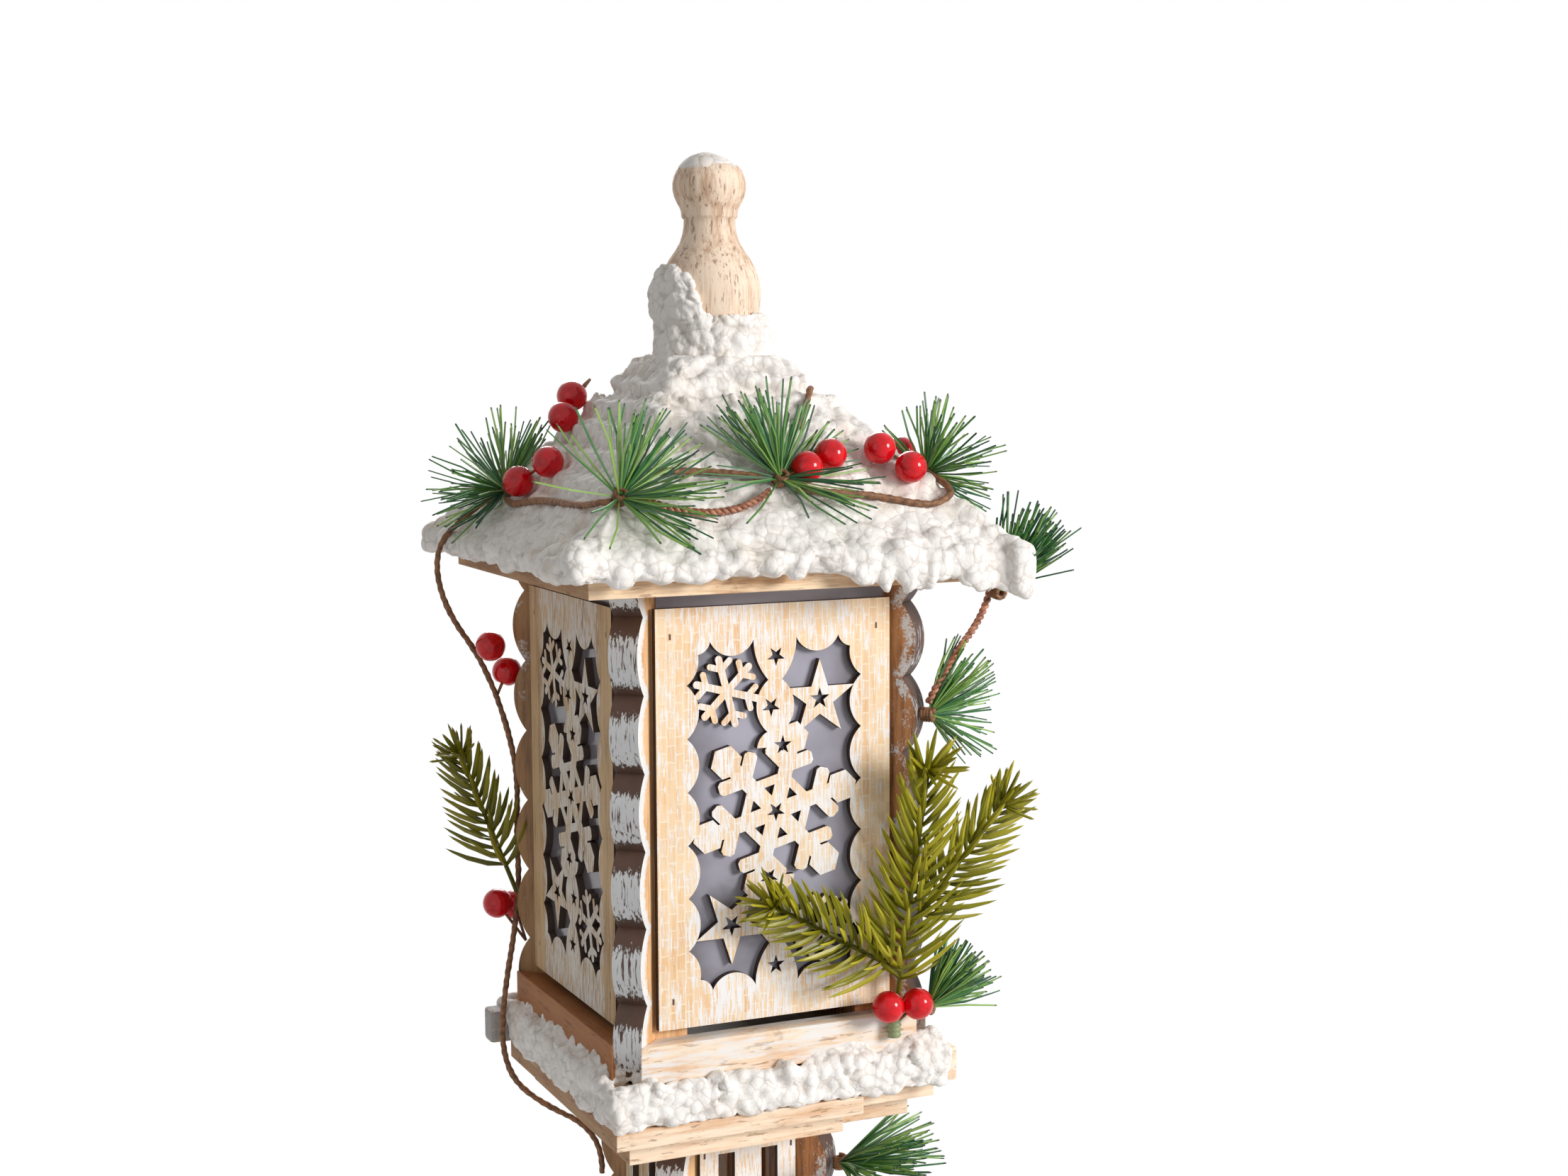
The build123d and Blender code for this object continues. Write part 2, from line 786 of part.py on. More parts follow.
def roof_lengths():
    """Lengths of wrapped wire over the roof's snow, each from one tuft to the next."""
    lift = twine_radius + seat_gap
    front_length = over_snow("front", ((-71.5, 33.5), (-66.7, 38.6), (-45.8, 39.1), (-21.7, 37.6), (-6.9, 35.4)), lift)
    loop_length = over_snow("front", ((5.5, 30.0), (21.7, 28.5), (42.6, 26.7), (59.4, 22.8), (70.0, 22.5)), lift)
    loop_length += [over_hip("front", 28.0, 2.2)]
    loop_length += over_snow("right", ((-66.0, 36.0),), lift)
    back_length = over_snow("right", ((-52.0, 30.5), (-30.0, 32.5), (20.0, 33.0), (50.0, 30.5)), lift)
    back_length += [over_hip("right", 30.0, 4.0)]
    back_length += over_snow("rear", ((-55.0, 31.0), (-22.0, 33.0), (18.0, 31.5), (50.0, 31.0)), lift)
    back_length += [over_hip("rear", 31.0, 4.0)]
    back_length += over_snow("left", ((-58.0, 30.0), (-47.5, 28.3)), lift)
    left_length = over_snow("left", ((-31.5, 22.6), (-19.0, 20.8), (3.5, 24.5), (34.7, 25.0), (60.0, 25.1)), lift)
    left_length += over_snow("left", ((72.0, 26.3),), lift)
    stub = over_snow("front", ((17.3, 55.2), (25.0, 64.5)), lift + 0.7) + over_snow("front", ((31.0, 71.0),), lift + 1.6)
    return [
        wire_tube("roof_twine front", front_length, twine_radius),
        wire_tube("roof_twine loop", loop_length, twine_radius),
        wire_tube("roof_twine back", back_length, twine_radius),
        wire_tube("roof_twine left", left_length, twine_radius),
        wire_tube("roof_twine stub", stub, twine_radius),
    ]


def garland(lantern_cusp, post_cusp):
    """Wires, ropes, tufts, fir sprigs and berries hung on the roof, the lantern's corners and the post."""
    nodes = {}
    lift = twine_radius + seat_gap
    rope_lift = rope_radius + seat_gap
    knot_lift = knot_height / 2 + seat_gap
    berry_lift = berry_radius + seat_gap
    eave_out = eave_half + snow_edge_out
    front = Vector(0, -1, 0)
    up = Vector(0, 0, 1)
    crest = lobe_pitch / 2
    post_crest = crest + lobe_pitch * (math.floor(post_length / lobe_pitch) - 1)

    def lantern_fin(corner, rise, gap, aside=0.0):
        return on_fin(corner, floor_top, lantern_cusp, rise, gap, aside)

    def post_fin(corner, rise, gap):
        return on_fin(corner, post_z, post_cusp, rise, gap)

    # Wires and ropes
    nodes["roof_twine"] = roof_lengths()

    rope_places = ((-67.0, 28.2), (-62.0, 26.8), (-52.4, 23.4), (-37.7, 21.4), (-23.1, 22.8), (-11.0, 27.0), (-6.6, 29.6))
    front_rope = over_snow("front", rope_places, rope_lift)
    right_rope = [
        on_snow("right", -62.0, 21.0, rope_lift),
        Vector(eave_out + 8.0, -62.5, roof_z + 2.0),
        Vector(eave_out + 4.0, -63.0, roof_z - 26.0),
        lantern_fin("front_right", 4 * lobe_pitch + crest, 12.0) + up * 22.0,
        lantern_fin("front_right", 4 * lobe_pitch + crest, knot_lift) + up * (knot_radius + 1.0),
    ]
    nodes["copper_rope"] = [
        wire_tube("copper_rope front", front_rope, rope_radius),
        wire_tube("copper_rope right", right_rope, rope_radius),
    ]

    hang_low = lantern_fin("rear_left", 3 * lobe_pitch + crest, lift)
    hang_high = hang_low + Vector(-14.0, 0.0, 46.0)
    left_route = [
        on_snow("left", -44.8, 23.0, lift),
        on_snow("left", -57.0, 22.0, lift),
        on_snow("left", -64.5, 16.5, lift),
        Vector(-eave_out - 8.0, 64.0, roof_z + 2.0),
        Vector(-eave_out - 4.0, 66.0, roof_z - 26.0),
        hang_high,
        hang_low,
        lantern_fin("rear_left", 2 * lobe_pitch + crest, lift + 1.4),
        lantern_fin("rear_left", lobe_pitch + crest, lift + 0.2),
        Vector(-ledge_half - 9.5, ledge_half - 19.0, ledge_z + ledge_height),
        Vector(-ledge_half - 7.0, ledge_half - 18.0, ledge_z - 11.0),
        Vector(-lower_frame_half - 0.8, lower_frame_half - 9.0, post_top - 10.0),
        post_fin("rear_left", post_crest, lift),
        post_fin("rear_left", post_crest, lift + 1.0) - up * 20.0,
    ]
    nodes["left_twine"] = wire_tube("left_twine", left_route, twine_radius)

    # Pine tufts
    right_out = Vector(1, -1, 0)
    eave_knot = right_rope[1] * 0.3 + right_rope[2] * 0.7 + front * (rope_radius + knot_lift + 0.8)
    tufts = {
        "a": (on_snow("left", -38.0, 25.3, knot_lift), snow_normal("left"), Vector(0, 1, -0.15), 138, 38.0),
        "b": (on_snow("front", -74.5, 28.0, knot_lift), snow_normal("front"), Vector(1, 0, -0.3), 168, 42.0),
        "c": (on_snow("front", -0.5, 33.6, knot_lift), snow_normal("front"), Vector(-1, 0, -0.32), 134, 42.0),
        "d": (on_snow("right", -60.0, 33.0, knot_lift), snow_normal("right"), Vector(0.35, -0.87, -0.35), 148, 36.0),
        "e": (eave_knot, front, Vector(0.42, 0, 1.0), 26, 44.0),
        "f": (
            lantern_fin("front_right", 4 * lobe_pitch + crest, knot_lift),
            right_out,
            Vector(1, 1, 0.1),
            46,
            36.0,
        ),
        "g": (
            post_fin("front_right", post_crest, knot_radius + seat_gap),
            up,
            Vector(1, -1, 0),
            60,
            46.0,
            needle_low_tiers,
        ),
        "h": (lantern_fin("front_right", crest, knot_lift), right_out, Vector(1, 1, 1.6), 50, 34.0),
    }
    for letter, settings in tufts.items():
        nodes["pine_tuft_" + letter] = pine_tuft(*settings)

    # Fir sprigs: stem foot, stem tip, and where the needles begin
    rail_face = lantern_seat + rail_depth + fir_stem_radius + seat_gap
    foot = Vector(52.0, -rail_face, floor_top + 7.0)
    tip = foot + Vector(12.8, -9.2, 119.0)
    branches = [(foot, tip, 70.0)]
    for share, reach, clear in ((0.25, Vector(-65.0, -1.0, 39.5), 1.85), (0.40, Vector(56.0, 0.0, 50.0), 3.0)):
        joint = foot + (tip - foot) * share
        branches.append((joint + reach.normalized() * fir_stem_radius * clear, joint + reach, 17.0))
    nodes["fir_sprig_right"] = [fir_sprig([branch], front) for branch in branches]
    left_foot = lantern_fin("rear_left", 54.0, fir_stem_radius + seat_gap, 4.6)
    left_tip = left_foot + Vector(-20.0, 20.0, 63.0)
    nodes["fir_sprig_left"] = fir_sprig([(left_foot, left_tip, 28.0)], Vector(-1, -1, 0).normalized())

    # Berries
    hang_reach = berry_radius + twine_radius
    high_berry = hang_high * 0.645 + left_route[4] * 0.355 + Vector(0.758, -0.653, 0) * (hang_reach + 0.9)
    next_berry = hang_high * 0.955 + hang_low * 0.045 + Vector(0.995, 0.083, -0.056) * (hang_reach + 0.4)
    low_lobe = lantern_fin("rear_left", lobe_pitch + crest, 0.0)
    low_berry = low_lobe + Vector(-0.175, 0.883, -0.436) * (berry_radius + 3.3)
    twin_berry = low_berry + Vector(-0.764, -0.592, 0.259) * (2 * berry_radius + 0.45)
    places = [
        foot + Vector(-5.6, -7.4, 16.0),
        foot + Vector(8.9, -7.2, 15.6),
        on_snow("front", 11.5, 35.5, berry_lift),
        on_snow("front", 25.0, 40.5, berry_lift),
        on_snow("front", 49.5, 43.0, berry_lift),
        on_snow("front", 60.5, 34.5, berry_lift),
        on_snow("right", -44.0, 39.5, berry_lift),
        on_snow("left", -18.8, 27.7, berry_lift),
        on_snow("left", -3.9, 36.7, berry_lift),
        on_snow("left", -42.0, 64.5, berry_lift),
        on_snow("left", -32.0, 56.0, berry_lift),
        high_berry,
        next_berry,
        low_berry,
        twin_berry,
    ]
    nodes["berries"] = [Pos(place) * Sphere(berry_radius) for place in places]
    return nodes


# Rear door, built as a front one and turned round

def door_parts():
    strip_outer = lantern_seat - fin_side - rail_gap
    strip_inner = door_half + door_gap
    strip_depth = (-panel_plane, -lantern_seat)
    axis_x = -(door_half + door_gap / 2)
    axis_y = -(panel_plane + knuckle_lift + knuckle_radius)
    middle = (strip_inner + strip_outer) / 2
    mid_height = panel_z + panel_height / 2
    face = -panel_plane

    def rod(radius, low, high):
        return Pos(axis_x, axis_y, low) * Cylinder(radius, high - low, align=(Align.CENTER, Align.CENTER, Align.MIN))

    def leaf(x_range, low, high):
        return block(x_range, (face - hinge_leaf_thickness, face), (low, high))

    def root_of(x_range, low, high):
        return block(x_range, (axis_y, face), (low, high))

    third = hinge_length / 3
    root_reach = knuckle_radius + hinge_leaf_thickness
    fixed = []
    moving = []
    for centre in (panel_z + hinge_end_inset, panel_top - hinge_end_inset):
        low = centre - hinge_length / 2
        high = centre + hinge_length / 2
        pin = rod(pin_radius, low, high)
        body = leaf((axis_x - hinge_leaf, axis_x - knuckle_radius), low, high)
        for start in (low, high - third + knuckle_gap):
            end = start + third - knuckle_gap
            body += rod(knuckle_radius, start, end)
            body += root_of((axis_x - root_reach, axis_x - knuckle_radius / 2), start, end)
        fixed.append(body + pin)
        swing = leaf((axis_x + knuckle_radius, axis_x + hinge_leaf), low, high)
        start = low + third + knuckle_gap
        end = high - third - knuckle_gap
        swing += root_of((axis_x + knuckle_radius / 2, axis_x + root_reach), start, end)
        swing += rod(knuckle_radius, start, end)
        moving.append(swing - rod(pin_radius + pin_clearance, start, end))

    screw_axis = Plane(origin=(middle, face, mid_height), z_dir=(0, -1, 0))
    screw_head_foot = button_lift + button_thickness + button_lift
    shank = screw_axis * Pos(0, 0, -ply) * Cylinder(
        screw_radius, ply + screw_head_foot, align=(Align.CENTER, Align.CENTER, Align.MIN)
    )
    head = screw_axis * Pos(0, 0, screw_head_foot) * Cylinder(
        screw_head_radius, screw_head_height, align=(Align.CENTER, Align.CENTER, Align.MIN)
    )
    screw = shank + head
    strips = [
        block((-strip_outer, -strip_inner), strip_depth, (panel_z, panel_top)),
        block((strip_inner, strip_outer), strip_depth, (panel_z, panel_top)) - shank,
    ]
    button = block(
        (middle - button_width / 2, middle + button_width / 2),
        (face - button_lift - button_thickness, face - button_lift),
        (mid_height - button_short, mid_height + button_long),
    )
    hole = screw_axis * Cylinder(screw_radius + pin_clearance, 4 * button_thickness)
    sheet = fret_sheet(door_half)
    door = standing(sheet, panel_plane, mid_height)
    pane = block(
        (-(door_half - pane_inset), door_half - pane_inset),
        (-lantern_back, -lantern_seat - door_pane_gap),
        (panel_z, panel_top),
    )
    print("door axis", round(-axis_x, 3), round(-axis_y, 3), "button axis", round(-middle, 3), round(mid_height, 3))
    parts = {
        "door_strips": strips + [screw],
        "hinge_leaves_fixed": fixed,
        "hinge_leaves_door": moving,
        "turn_button": [button - hole],
        "door_panel": [door],
        "door_pane": [pane],
    }
    return {name: [turned(shape, sides["rear"]) for shape in shapes] for name, shapes in parts.items()}


# Battery lamp

def lamp_parts():
    half_x = case_length / 2
    half_y = case_depth / 2
    top = floor_top + case_height
    inner_x = half_x - case_wall
    groove = (half_y - cover_rear_lip - cover_thickness - 2 * slide_fit, half_y - cover_rear_lip)
    case = block((-half_x, half_x), (-half_y, half_y), (floor_top, top))
    case -= block((-inner_x, inner_x), (-half_y + case_wall, half_y), (floor_top + case_wall, top - case_wall))
    case -= block(
        (-inner_x - cover_groove, inner_x + cover_groove), groove, (floor_top + case_wall, top)
    )
    case -= block((-inner_x, inner_x), (groove[0], half_y), (top - case_wall, top))
    pocket_half = (switch_length + switch_travel) / 2 + slide_fit
    case -= block(
        (-pocket_half, pocket_half),
        (switch_place - switch_width / 2 - slide_fit, switch_place + switch_width / 2 + slide_fit),
        (top - switch_pocket_depth, top),
    )
    cover_x = inner_x + cover_groove - slide_fit
    cover = block(
        (-cover_x, cover_x),
        (groove[0] + slide_fit, groove[1] - slide_fit),
        (floor_top + case_wall + slide_fit, top),
    )
    grip_high = (floor_top + top) / 2
    cover += block(
        (-case_length / 8, case_length / 8),
        (groove[1] - slide_fit, half_y),
        (grip_high, grip_high + cover_thickness),
    )
    start = -switch_travel / 2 - switch_length / 2
    slider = block(
        (start, start + switch_length),
        (switch_place - switch_width / 2, switch_place + switch_width / 2),
        (top - switch_pocket_depth + slide_fit, top + switch_rise),
    )
    cells = []
    first = -half_y + case_wall + cell_radius + slide_fit
    for number in range(3):
        turn = 90 if number % 2 else -90
        place = Pos(0, first + number * cell_pitch, floor_top + case_wall + cell_radius + cell_fit)
        body = Cylinder(cell_radius, cell_length)
        body += Pos(0, 0, cell_length / 2 + cell_nub_length / 2) * Cylinder(cell_nub_radius, cell_nub_length)
        cells.append(place * Rot(0, turn, 0) * body)
    seat = Pos(0, dome_shift, top)
    upward = (Align.CENTER, Align.CENTER, Align.MIN)
    board = seat * Cylinder(led_board_radius, led_board_thickness, align=upward)
    for number in range(5):
        place = Rot(0, 0, 72 * number) * Pos(led_ring, 0, led_board_thickness)
        board += seat * place * Box(led_size, led_size, led_height, align=upward)
    bore = dome_radius - dome_wall
    shoulder = dome_height - dome_radius
    inner_top = dome_height - dome_wall
    bend = math.sqrt(0.5)
    edges = [
        Line((bore, 0), (dome_radius, 0)),
        Line((dome_radius, 0), (dome_radius, shoulder)),
        ThreePointArc((dome_radius, shoulder), (dome_radius * bend, shoulder + dome_radius * bend), (0, dome_height)),
        Line((0, dome_height), (0, inner_top)),
        ThreePointArc((0, inner_top), (bore * bend, shoulder + bore * bend), (bore, shoulder)),
        Line((bore, shoulder), (bore, 0)),
    ]
    dome = seat * revolve(Plane.XZ * make_face(edges), Axis.Z)
    return {
        "lamp_case": [case],
        "battery_cover": [cover],
        "switch_slider": [slider],
        "lamp_cells": cells,
        "lamp_board": [board],
        "lamp_dome": [dome],
    }


def build():
    nodes = {}

    # Foot
    nodes["base_board"] = block((-base_half, base_half), (-base_half, base_half), (0, base_board_height))
    nodes["base_frame"] = pinwheel(base_frame_half, base_frame_width, 0.0, base_frame_z, base_frame_height)
    base_step = pinwheel(base_step_half, base_step_width, frame_setback, base_step_z, base_step_height)
    nodes["base_step"] = base_step

    # Post
    post_heights = (post_z + post_brad_end, post_z + post_length / 2, post_top - post_brad_end)
    post_brads = brad_set(post_plane, post_panel_half, post_brad_inset, post_heights)
    post_cusp = post_seat * diagonal + post_cusp_proud
    post_corner = scalloped_board(post_seat, post_stile, post_cusp, post_z, post_top)
    sheet = Rectangle(2 * post_panel_half, post_length)
    row = post_length / post_slot_rows
    holes = []
    for number in range(post_slot_rows):
        level = (number + 0.5) * row - post_length / 2
        for side in (-1, 1):
            holes.append(
                Pos(side * post_slot_offset, level) * Rectangle(post_slot_width, row - post_slot_bridge)
            )
        if number:
            points = []
            for tip in range(5):
                points.append(polar(post_star, 90 + 72 * tip))
                points.append(polar(post_star * 0.4, 126 + 72 * tip))
            holes.append(Pos(0, level - row / 2) * make_face(Polyline(*points, close=True)))
    post_sheet = sheet - holes
    post_panel = standing(post_sheet, post_plane, post_z + post_length / 2) - post_brads
    all_post_brads = [turned(brad, turn) for turn in sides.values() for brad in post_brads]
    post_corner -= all_post_brads
    for name, turn in sides.items():
        nodes["post_panel_" + name] = turned(post_panel, turn)
    for name, turn in corners.items():
        nodes["post_corner_" + name] = turned(post_corner, turn)

    # Frames under the lantern
    nodes["lower_frame"] = pinwheel(
        lower_frame_half, lower_frame_width, frame_setback, lower_frame_z, lower_frame_height
    )
    nodes["upper_frame"] = pinwheel(
        upper_frame_half, upper_frame_width, frame_setback, upper_frame_z, upper_frame_height
    )

    # Ledge and floor
    floor = block((-floor_half, floor_half), (-floor_half, floor_half), (ledge_z, floor_top))
    ledge_inner = floor_half + seat_gap
    ledge_span = (ledge_z, ledge_z + ledge_height)
    ledge = [
        block((-ledge_half, ledge_half + ledge_front_reach), (-ledge_half, -ledge_inner), ledge_span),
        block((-ledge_half - ledge_back_reach, ledge_half), (ledge_inner, ledge_half), ledge_span),
        block((-ledge_half, -ledge_inner), (-ledge_inner, ledge_inner), ledge_span),
        block((ledge_inner, ledge_half), (-ledge_inner, ledge_inner), ledge_span),
    ]
    nodes["lantern_floor"] = floor
    nodes["ledge_battens"] = ledge

    # Lantern body
    lantern_heights = (panel_z + brad_end_inset, panel_top - brad_end_inset)
    lantern_brads = brad_set(panel_plane, panel_half, brad_side_inset, lantern_heights)
    fixed_sides = [name for name in sides if name != "rear"]
    all_lantern_brads = [turned(brad, sides[name]) for name in fixed_sides for brad in lantern_brads]
    lantern_cusp = lantern_seat * diagonal + lantern_cusp_proud
    corner = scalloped_board(lantern_seat, lantern_stile, lantern_cusp, floor_top, eave_z)
    fret_panel = standing(fret_sheet(panel_half), panel_plane, panel_z + panel_height / 2) - lantern_brads
    pane = block(
        (-pane_half, pane_half), (-lantern_back, -lantern_seat), (panel_z, panel_top + pane_rise)
    )
    pane -= lantern_brads
    for name in fixed_sides:
        nodes["fret_panel_" + name] = turned(fret_panel, sides[name])
    nodes["panes"] = [turned(pane, sides[name]) for name in fixed_sides]
    boards = {}
    for name, turn in corners.items():
        boards[name] = turned(corner, turn) - all_lantern_brads
        nodes["corner_board_" + name] = boards[name]
    rail = mitred_rail()
    rails = [turned(rail, turn) for turn in sides.values()]
    nodes["bottom_rails"] = rails
    nodes["brads"] = all_post_brads + all_lantern_brads
    nodes.update(door_parts())
    nodes.update(lamp_parts())

    # Roof
    plate = block((-eave_half, eave_half), (-eave_half, eave_half), (eave_z, roof_z))
    slope = lapped_slope()
    slopes = [turned(slope, turn) for turn in sides.values()]
    cap = block((-cap_tier_half, cap_tier_half), (-cap_tier_half, cap_tier_half), (cap_z, cap_z + cap_tier_height))
    cap += block((-cap_half, cap_half), (-cap_half, cap_half), (cap_z + cap_tier_height, finial_z))
    finial = revolve(finial_profile(), Axis.Z)
    attic = Pos(0, 0, roof_z) * loft(
        [Rectangle(2 * roof_foot, 2 * roof_foot), Pos(0, 0, roof_rise) * Rectangle(2 * roof_top, 2 * roof_top)],
        ruled=True,
    )
    nodes["roof_plate"] = plate
    nodes["roof_slopes"] = slopes
    nodes["roof_cap"] = cap
    nodes["finial"] = finial
    nodes["roof_snow"] = roof_snow_coat([plate, attic, cap, finial] + slopes)
    nodes["finial_snow"] = finial_snow_patches()

    # Snow rim on the ledge, and snow round the post's foot
    rim_half = ledge_half + ledge_snow_thickness
    rim_top = ledge_z + ledge_height + ledge_snow_rise
    rim = block((-rim_half, rim_half), (-rim_half, rim_half), (ledge_z + seat_gap, rim_top))
    lumps = []
    for turn in sides.values():
        for number in range(5):
            share = (number + 0.5) / 5 * 2 - 1
            place = Pos(share * ledge_half, -ledge_half - 1.0, ledge_z + ledge_height)
            lumps.append(turned(place * Sphere(ledge_snow_lump), turn))
    clear = lantern_seat + rail_depth + seat_gap
    core = block((-clear, clear), (-clear, clear), (ledge_z, rim_top + ledge_snow_lump))
    nodes["ledge_snow"] = rim + lumps - ledge - core
    drift_half = base_frame_half - base_snow_inset
    drift = Pos(0, 0, base_step_z) * loft(
        [
            RectangleRounded(2 * drift_half, 2 * drift_half, snow_corner),
            Pos(0, 0, base_snow_foot) * RectangleRounded(2 * drift_half, 2 * drift_half, snow_corner),
            Pos(0, 0, base_step_height + base_snow_height)
            * RectangleRounded(2 * post_cusp, 2 * post_cusp, snow_corner),
        ],
        ruled=True,
    )
    post_block = block((-post_plane, post_plane), (-post_plane, post_plane), (base_step_z, post_top))
    hollow = block((-base_step_half, base_step_half), (-base_step_half, base_step_half), (base_step_z, post_z))
    post_corners = [nodes["post_corner_" + name] for name in corners]
    nodes["base_snow"] = drift - [post_block, hollow] - post_corners

    nodes.update(garland(lantern_cusp, post_cusp))

    return nodes


os.makedirs("parts", exist_ok=True)
for node_name, node_shapes in build().items():
    save(node_name, node_shapes)
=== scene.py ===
import bmesh
import bpy
import math
import random
from mathutils import Matrix, Vector, noise


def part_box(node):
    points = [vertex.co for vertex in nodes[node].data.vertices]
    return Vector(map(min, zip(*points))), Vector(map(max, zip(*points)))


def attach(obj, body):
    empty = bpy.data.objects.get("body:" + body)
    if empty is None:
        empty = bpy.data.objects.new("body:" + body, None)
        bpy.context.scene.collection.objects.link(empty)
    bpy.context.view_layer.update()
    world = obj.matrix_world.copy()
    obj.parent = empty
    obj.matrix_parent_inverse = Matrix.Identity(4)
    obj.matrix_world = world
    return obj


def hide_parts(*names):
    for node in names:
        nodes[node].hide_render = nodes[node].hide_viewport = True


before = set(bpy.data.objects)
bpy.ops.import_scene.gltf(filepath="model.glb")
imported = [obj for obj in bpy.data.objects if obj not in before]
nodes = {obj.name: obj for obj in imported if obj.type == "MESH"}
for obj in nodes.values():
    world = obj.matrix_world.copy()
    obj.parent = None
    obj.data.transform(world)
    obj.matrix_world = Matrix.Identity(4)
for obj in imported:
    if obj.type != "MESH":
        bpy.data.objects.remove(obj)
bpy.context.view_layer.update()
postBody = "lamp_post"
weldGap = 1e-6

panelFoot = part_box("fret_panel_front")[0].z
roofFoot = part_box("roof_plate")[1].z
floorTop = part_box("lantern_floor")[1].z
knobFoot, knobTop = (corner.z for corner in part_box("finial"))
print("frame loaded", len(nodes), "nodes")


# small helpers for shader trees; most find their tree by a socket that they are given
def feed(tree, socket, value):
    if isinstance(value, bpy.types.NodeSocket):
        tree.links.new(value, socket)
    else:
        socket.default_value = value


def put(tree, kind, links=None, **settings):
    node = tree.nodes.new(kind)
    for key, value in settings.items():
        setattr(node, key, value)
    for key, value in (links or {}).items():
        feed(tree, node.inputs[key], value)
    return node


def treeOf(values):
    return next(value.id_data for value in values if isinstance(value, bpy.types.NodeSocket))


def calc(operation, *values, clamp=False):
    links = dict(enumerate(values))
    return put(treeOf(values), "ShaderNodeMath", links, operation=operation, use_clamp=clamp).outputs[0]


def times(first, second):
    return calc("MULTIPLY", first, second)


def timesPlus(value, factor, base):
    return calc("MULTIPLY_ADD", value, factor, base)


def plus(first, second):
    return calc("ADD", first, second)


def minus(first, second):
    return calc("SUBTRACT", first, second)


def size(value):
    return calc("ABSOLUTE", value)


def vectorCalc(operation, first, second):
    node = put(treeOf((first, second)), "ShaderNodeVectorMath", {0: first, 1: second}, operation=operation)
    return node.outputs["Value" if operation == "DOT_PRODUCT" else "Vector"]


def smoothStep(value, low, high):
    links = {0: value, 1: low, 2: high, 3: 0.0, 4: 1.0}
    return put(treeOf((value,)), "ShaderNodeMapRange", links, interpolation_type="SMOOTHSTEP").outputs[0]


def mixColor(share, first, second, mode="MIX"):
    links = {0: share, 6: first, 7: second}
    tree = treeOf(links.values())
    return put(tree, "ShaderNodeMix", links, data_type="RGBA", blend_type=mode).outputs[2]


def rampColor(value, stops):
    node = put(treeOf((value,)), "ShaderNodeValToRGB", {0: value})
    elements = node.color_ramp.elements
    while len(elements) < len(stops):
        elements.new(0.5)
    for element, (place, color) in zip(elements, stops):
        element.position = place
        element.color = color
    return node.outputs[0]


def rgb(red, green, blue):
    return (red, green, blue, 1.0)


def grey(level):
    return rgb(level, level, level)


def partsOf(vector):
    return put(treeOf((vector,)), "ShaderNodeSeparateXYZ", {0: vector}).outputs


def swizzle(vector, order):
    parts = partsOf(vector)
    chosen = {index: parts[letter] for index, letter in enumerate(order)}
    return put(treeOf((vector,)), "ShaderNodeCombineXYZ", chosen).outputs[0]


def noiseNode(vector, scale, **more):
    return put(treeOf((vector,)), "ShaderNodeTexNoise", {"Vector": vector, "Scale": scale, **more})


def noiseValue(vector, scale, detail=4.0, roughness=0.55, distortion=0.0):
    more = {"Detail": detail, "Roughness": roughness, "Distortion": distortion}
    return noiseNode(vector, scale, **more).outputs[0]


def noiseMask(vector, look, band):
    # 0 to 1 where a noise rises through the band
    return smoothStep(noiseValue(vector, *look), *band)


def blend(first, second, shares):
    return timesPlus(first, shares[0], times(second, shares[1]))


def shaken(vector, scale, reach):
    return vectorCalc("ADD", vector, vectorCalc("MULTIPLY", noiseNode(vector, scale).outputs[1], reach))


def newGroup(name, inputs, outputs):
    tree = bpy.data.node_groups.new(name, "ShaderNodeTree")
    kinds = {type(None): "NodeSocketVector", tuple: "NodeSocketColor", float: "NodeSocketFloat"}
    for label, value in inputs.items():
        socket = tree.interface.new_socket(label, in_out="INPUT", socket_type=kinds[type(value)])
        if value is not None:
            socket.default_value = value
    for label in outputs:
        kind = kinds[tuple if label == "Color" else float]
        tree.interface.new_socket(label, in_out="OUTPUT", socket_type=kind)
    return tree, put(tree, "NodeGroupInput").outputs, put(tree, "NodeGroupOutput").inputs


def useGroup(group, links):
    return put(treeOf(links.values()), "ShaderNodeGroup", links, node_tree=group).outputs


def newMaterial(name):
    material = bpy.data.materials.new(name)
    material.use_nodes = True
    return material


def whereOn(material):
    coords = put(material.node_tree, "ShaderNodeTexCoord").outputs
    return coords["Object"], coords["Normal"]


def toneOf(material):
    return partsOf(put(material.node_tree, "ShaderNodeUVMap", uv_map="tone").outputs[0])


def finishUp(material, color, roughness, height=None, depth=0.0, strength=0.0, **constants):
    tree = material.node_tree
    shader = tree.nodes["Principled BSDF"]
    feed(tree, shader.inputs["Base Color"], color)
    shader.inputs["Roughness"].default_value = roughness
    if height is not None:
        bump = put(tree, "ShaderNodeBump", {"Height": height, "Distance": depth, "Strength": strength})
        tree.links.new(bump.outputs[0], shader.inputs["Normal"])
    for label, value in constants.items():
        shader.inputs[label.replace("_", " ")].default_value = value
    return material


# small helpers for pieces
def clamp(value):
    return min(max(value, 0.0), 1.0)


def addObject(name, data):
    thing = bpy.data.objects.new(name, data)
    bpy.context.scene.collection.objects.link(thing)
    return thing


def cover(mesh, material):
    mesh.materials.clear()
    mesh.materials.append(material)
    for face in mesh.polygons:
        face.material_index = 0


def dress(name, material):
    cover(nodes[name].data, material)


def addPiece(name, mesh, material, node, smooth=True):
    # a piece that stands for a CAD node, which it hides
    cover(mesh, material)
    for face in mesh.polygons:
        face.use_smooth = smooth
    piece = addObject(name, mesh)
    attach(piece, postBody)
    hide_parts(node)
    return piece


def paintTone(mesh, values):
    layer = mesh.uv_layers.new(name="tone")
    for loop in mesh.loops:
        layer.data[loop.index].uv = values[loop.vertex_index]


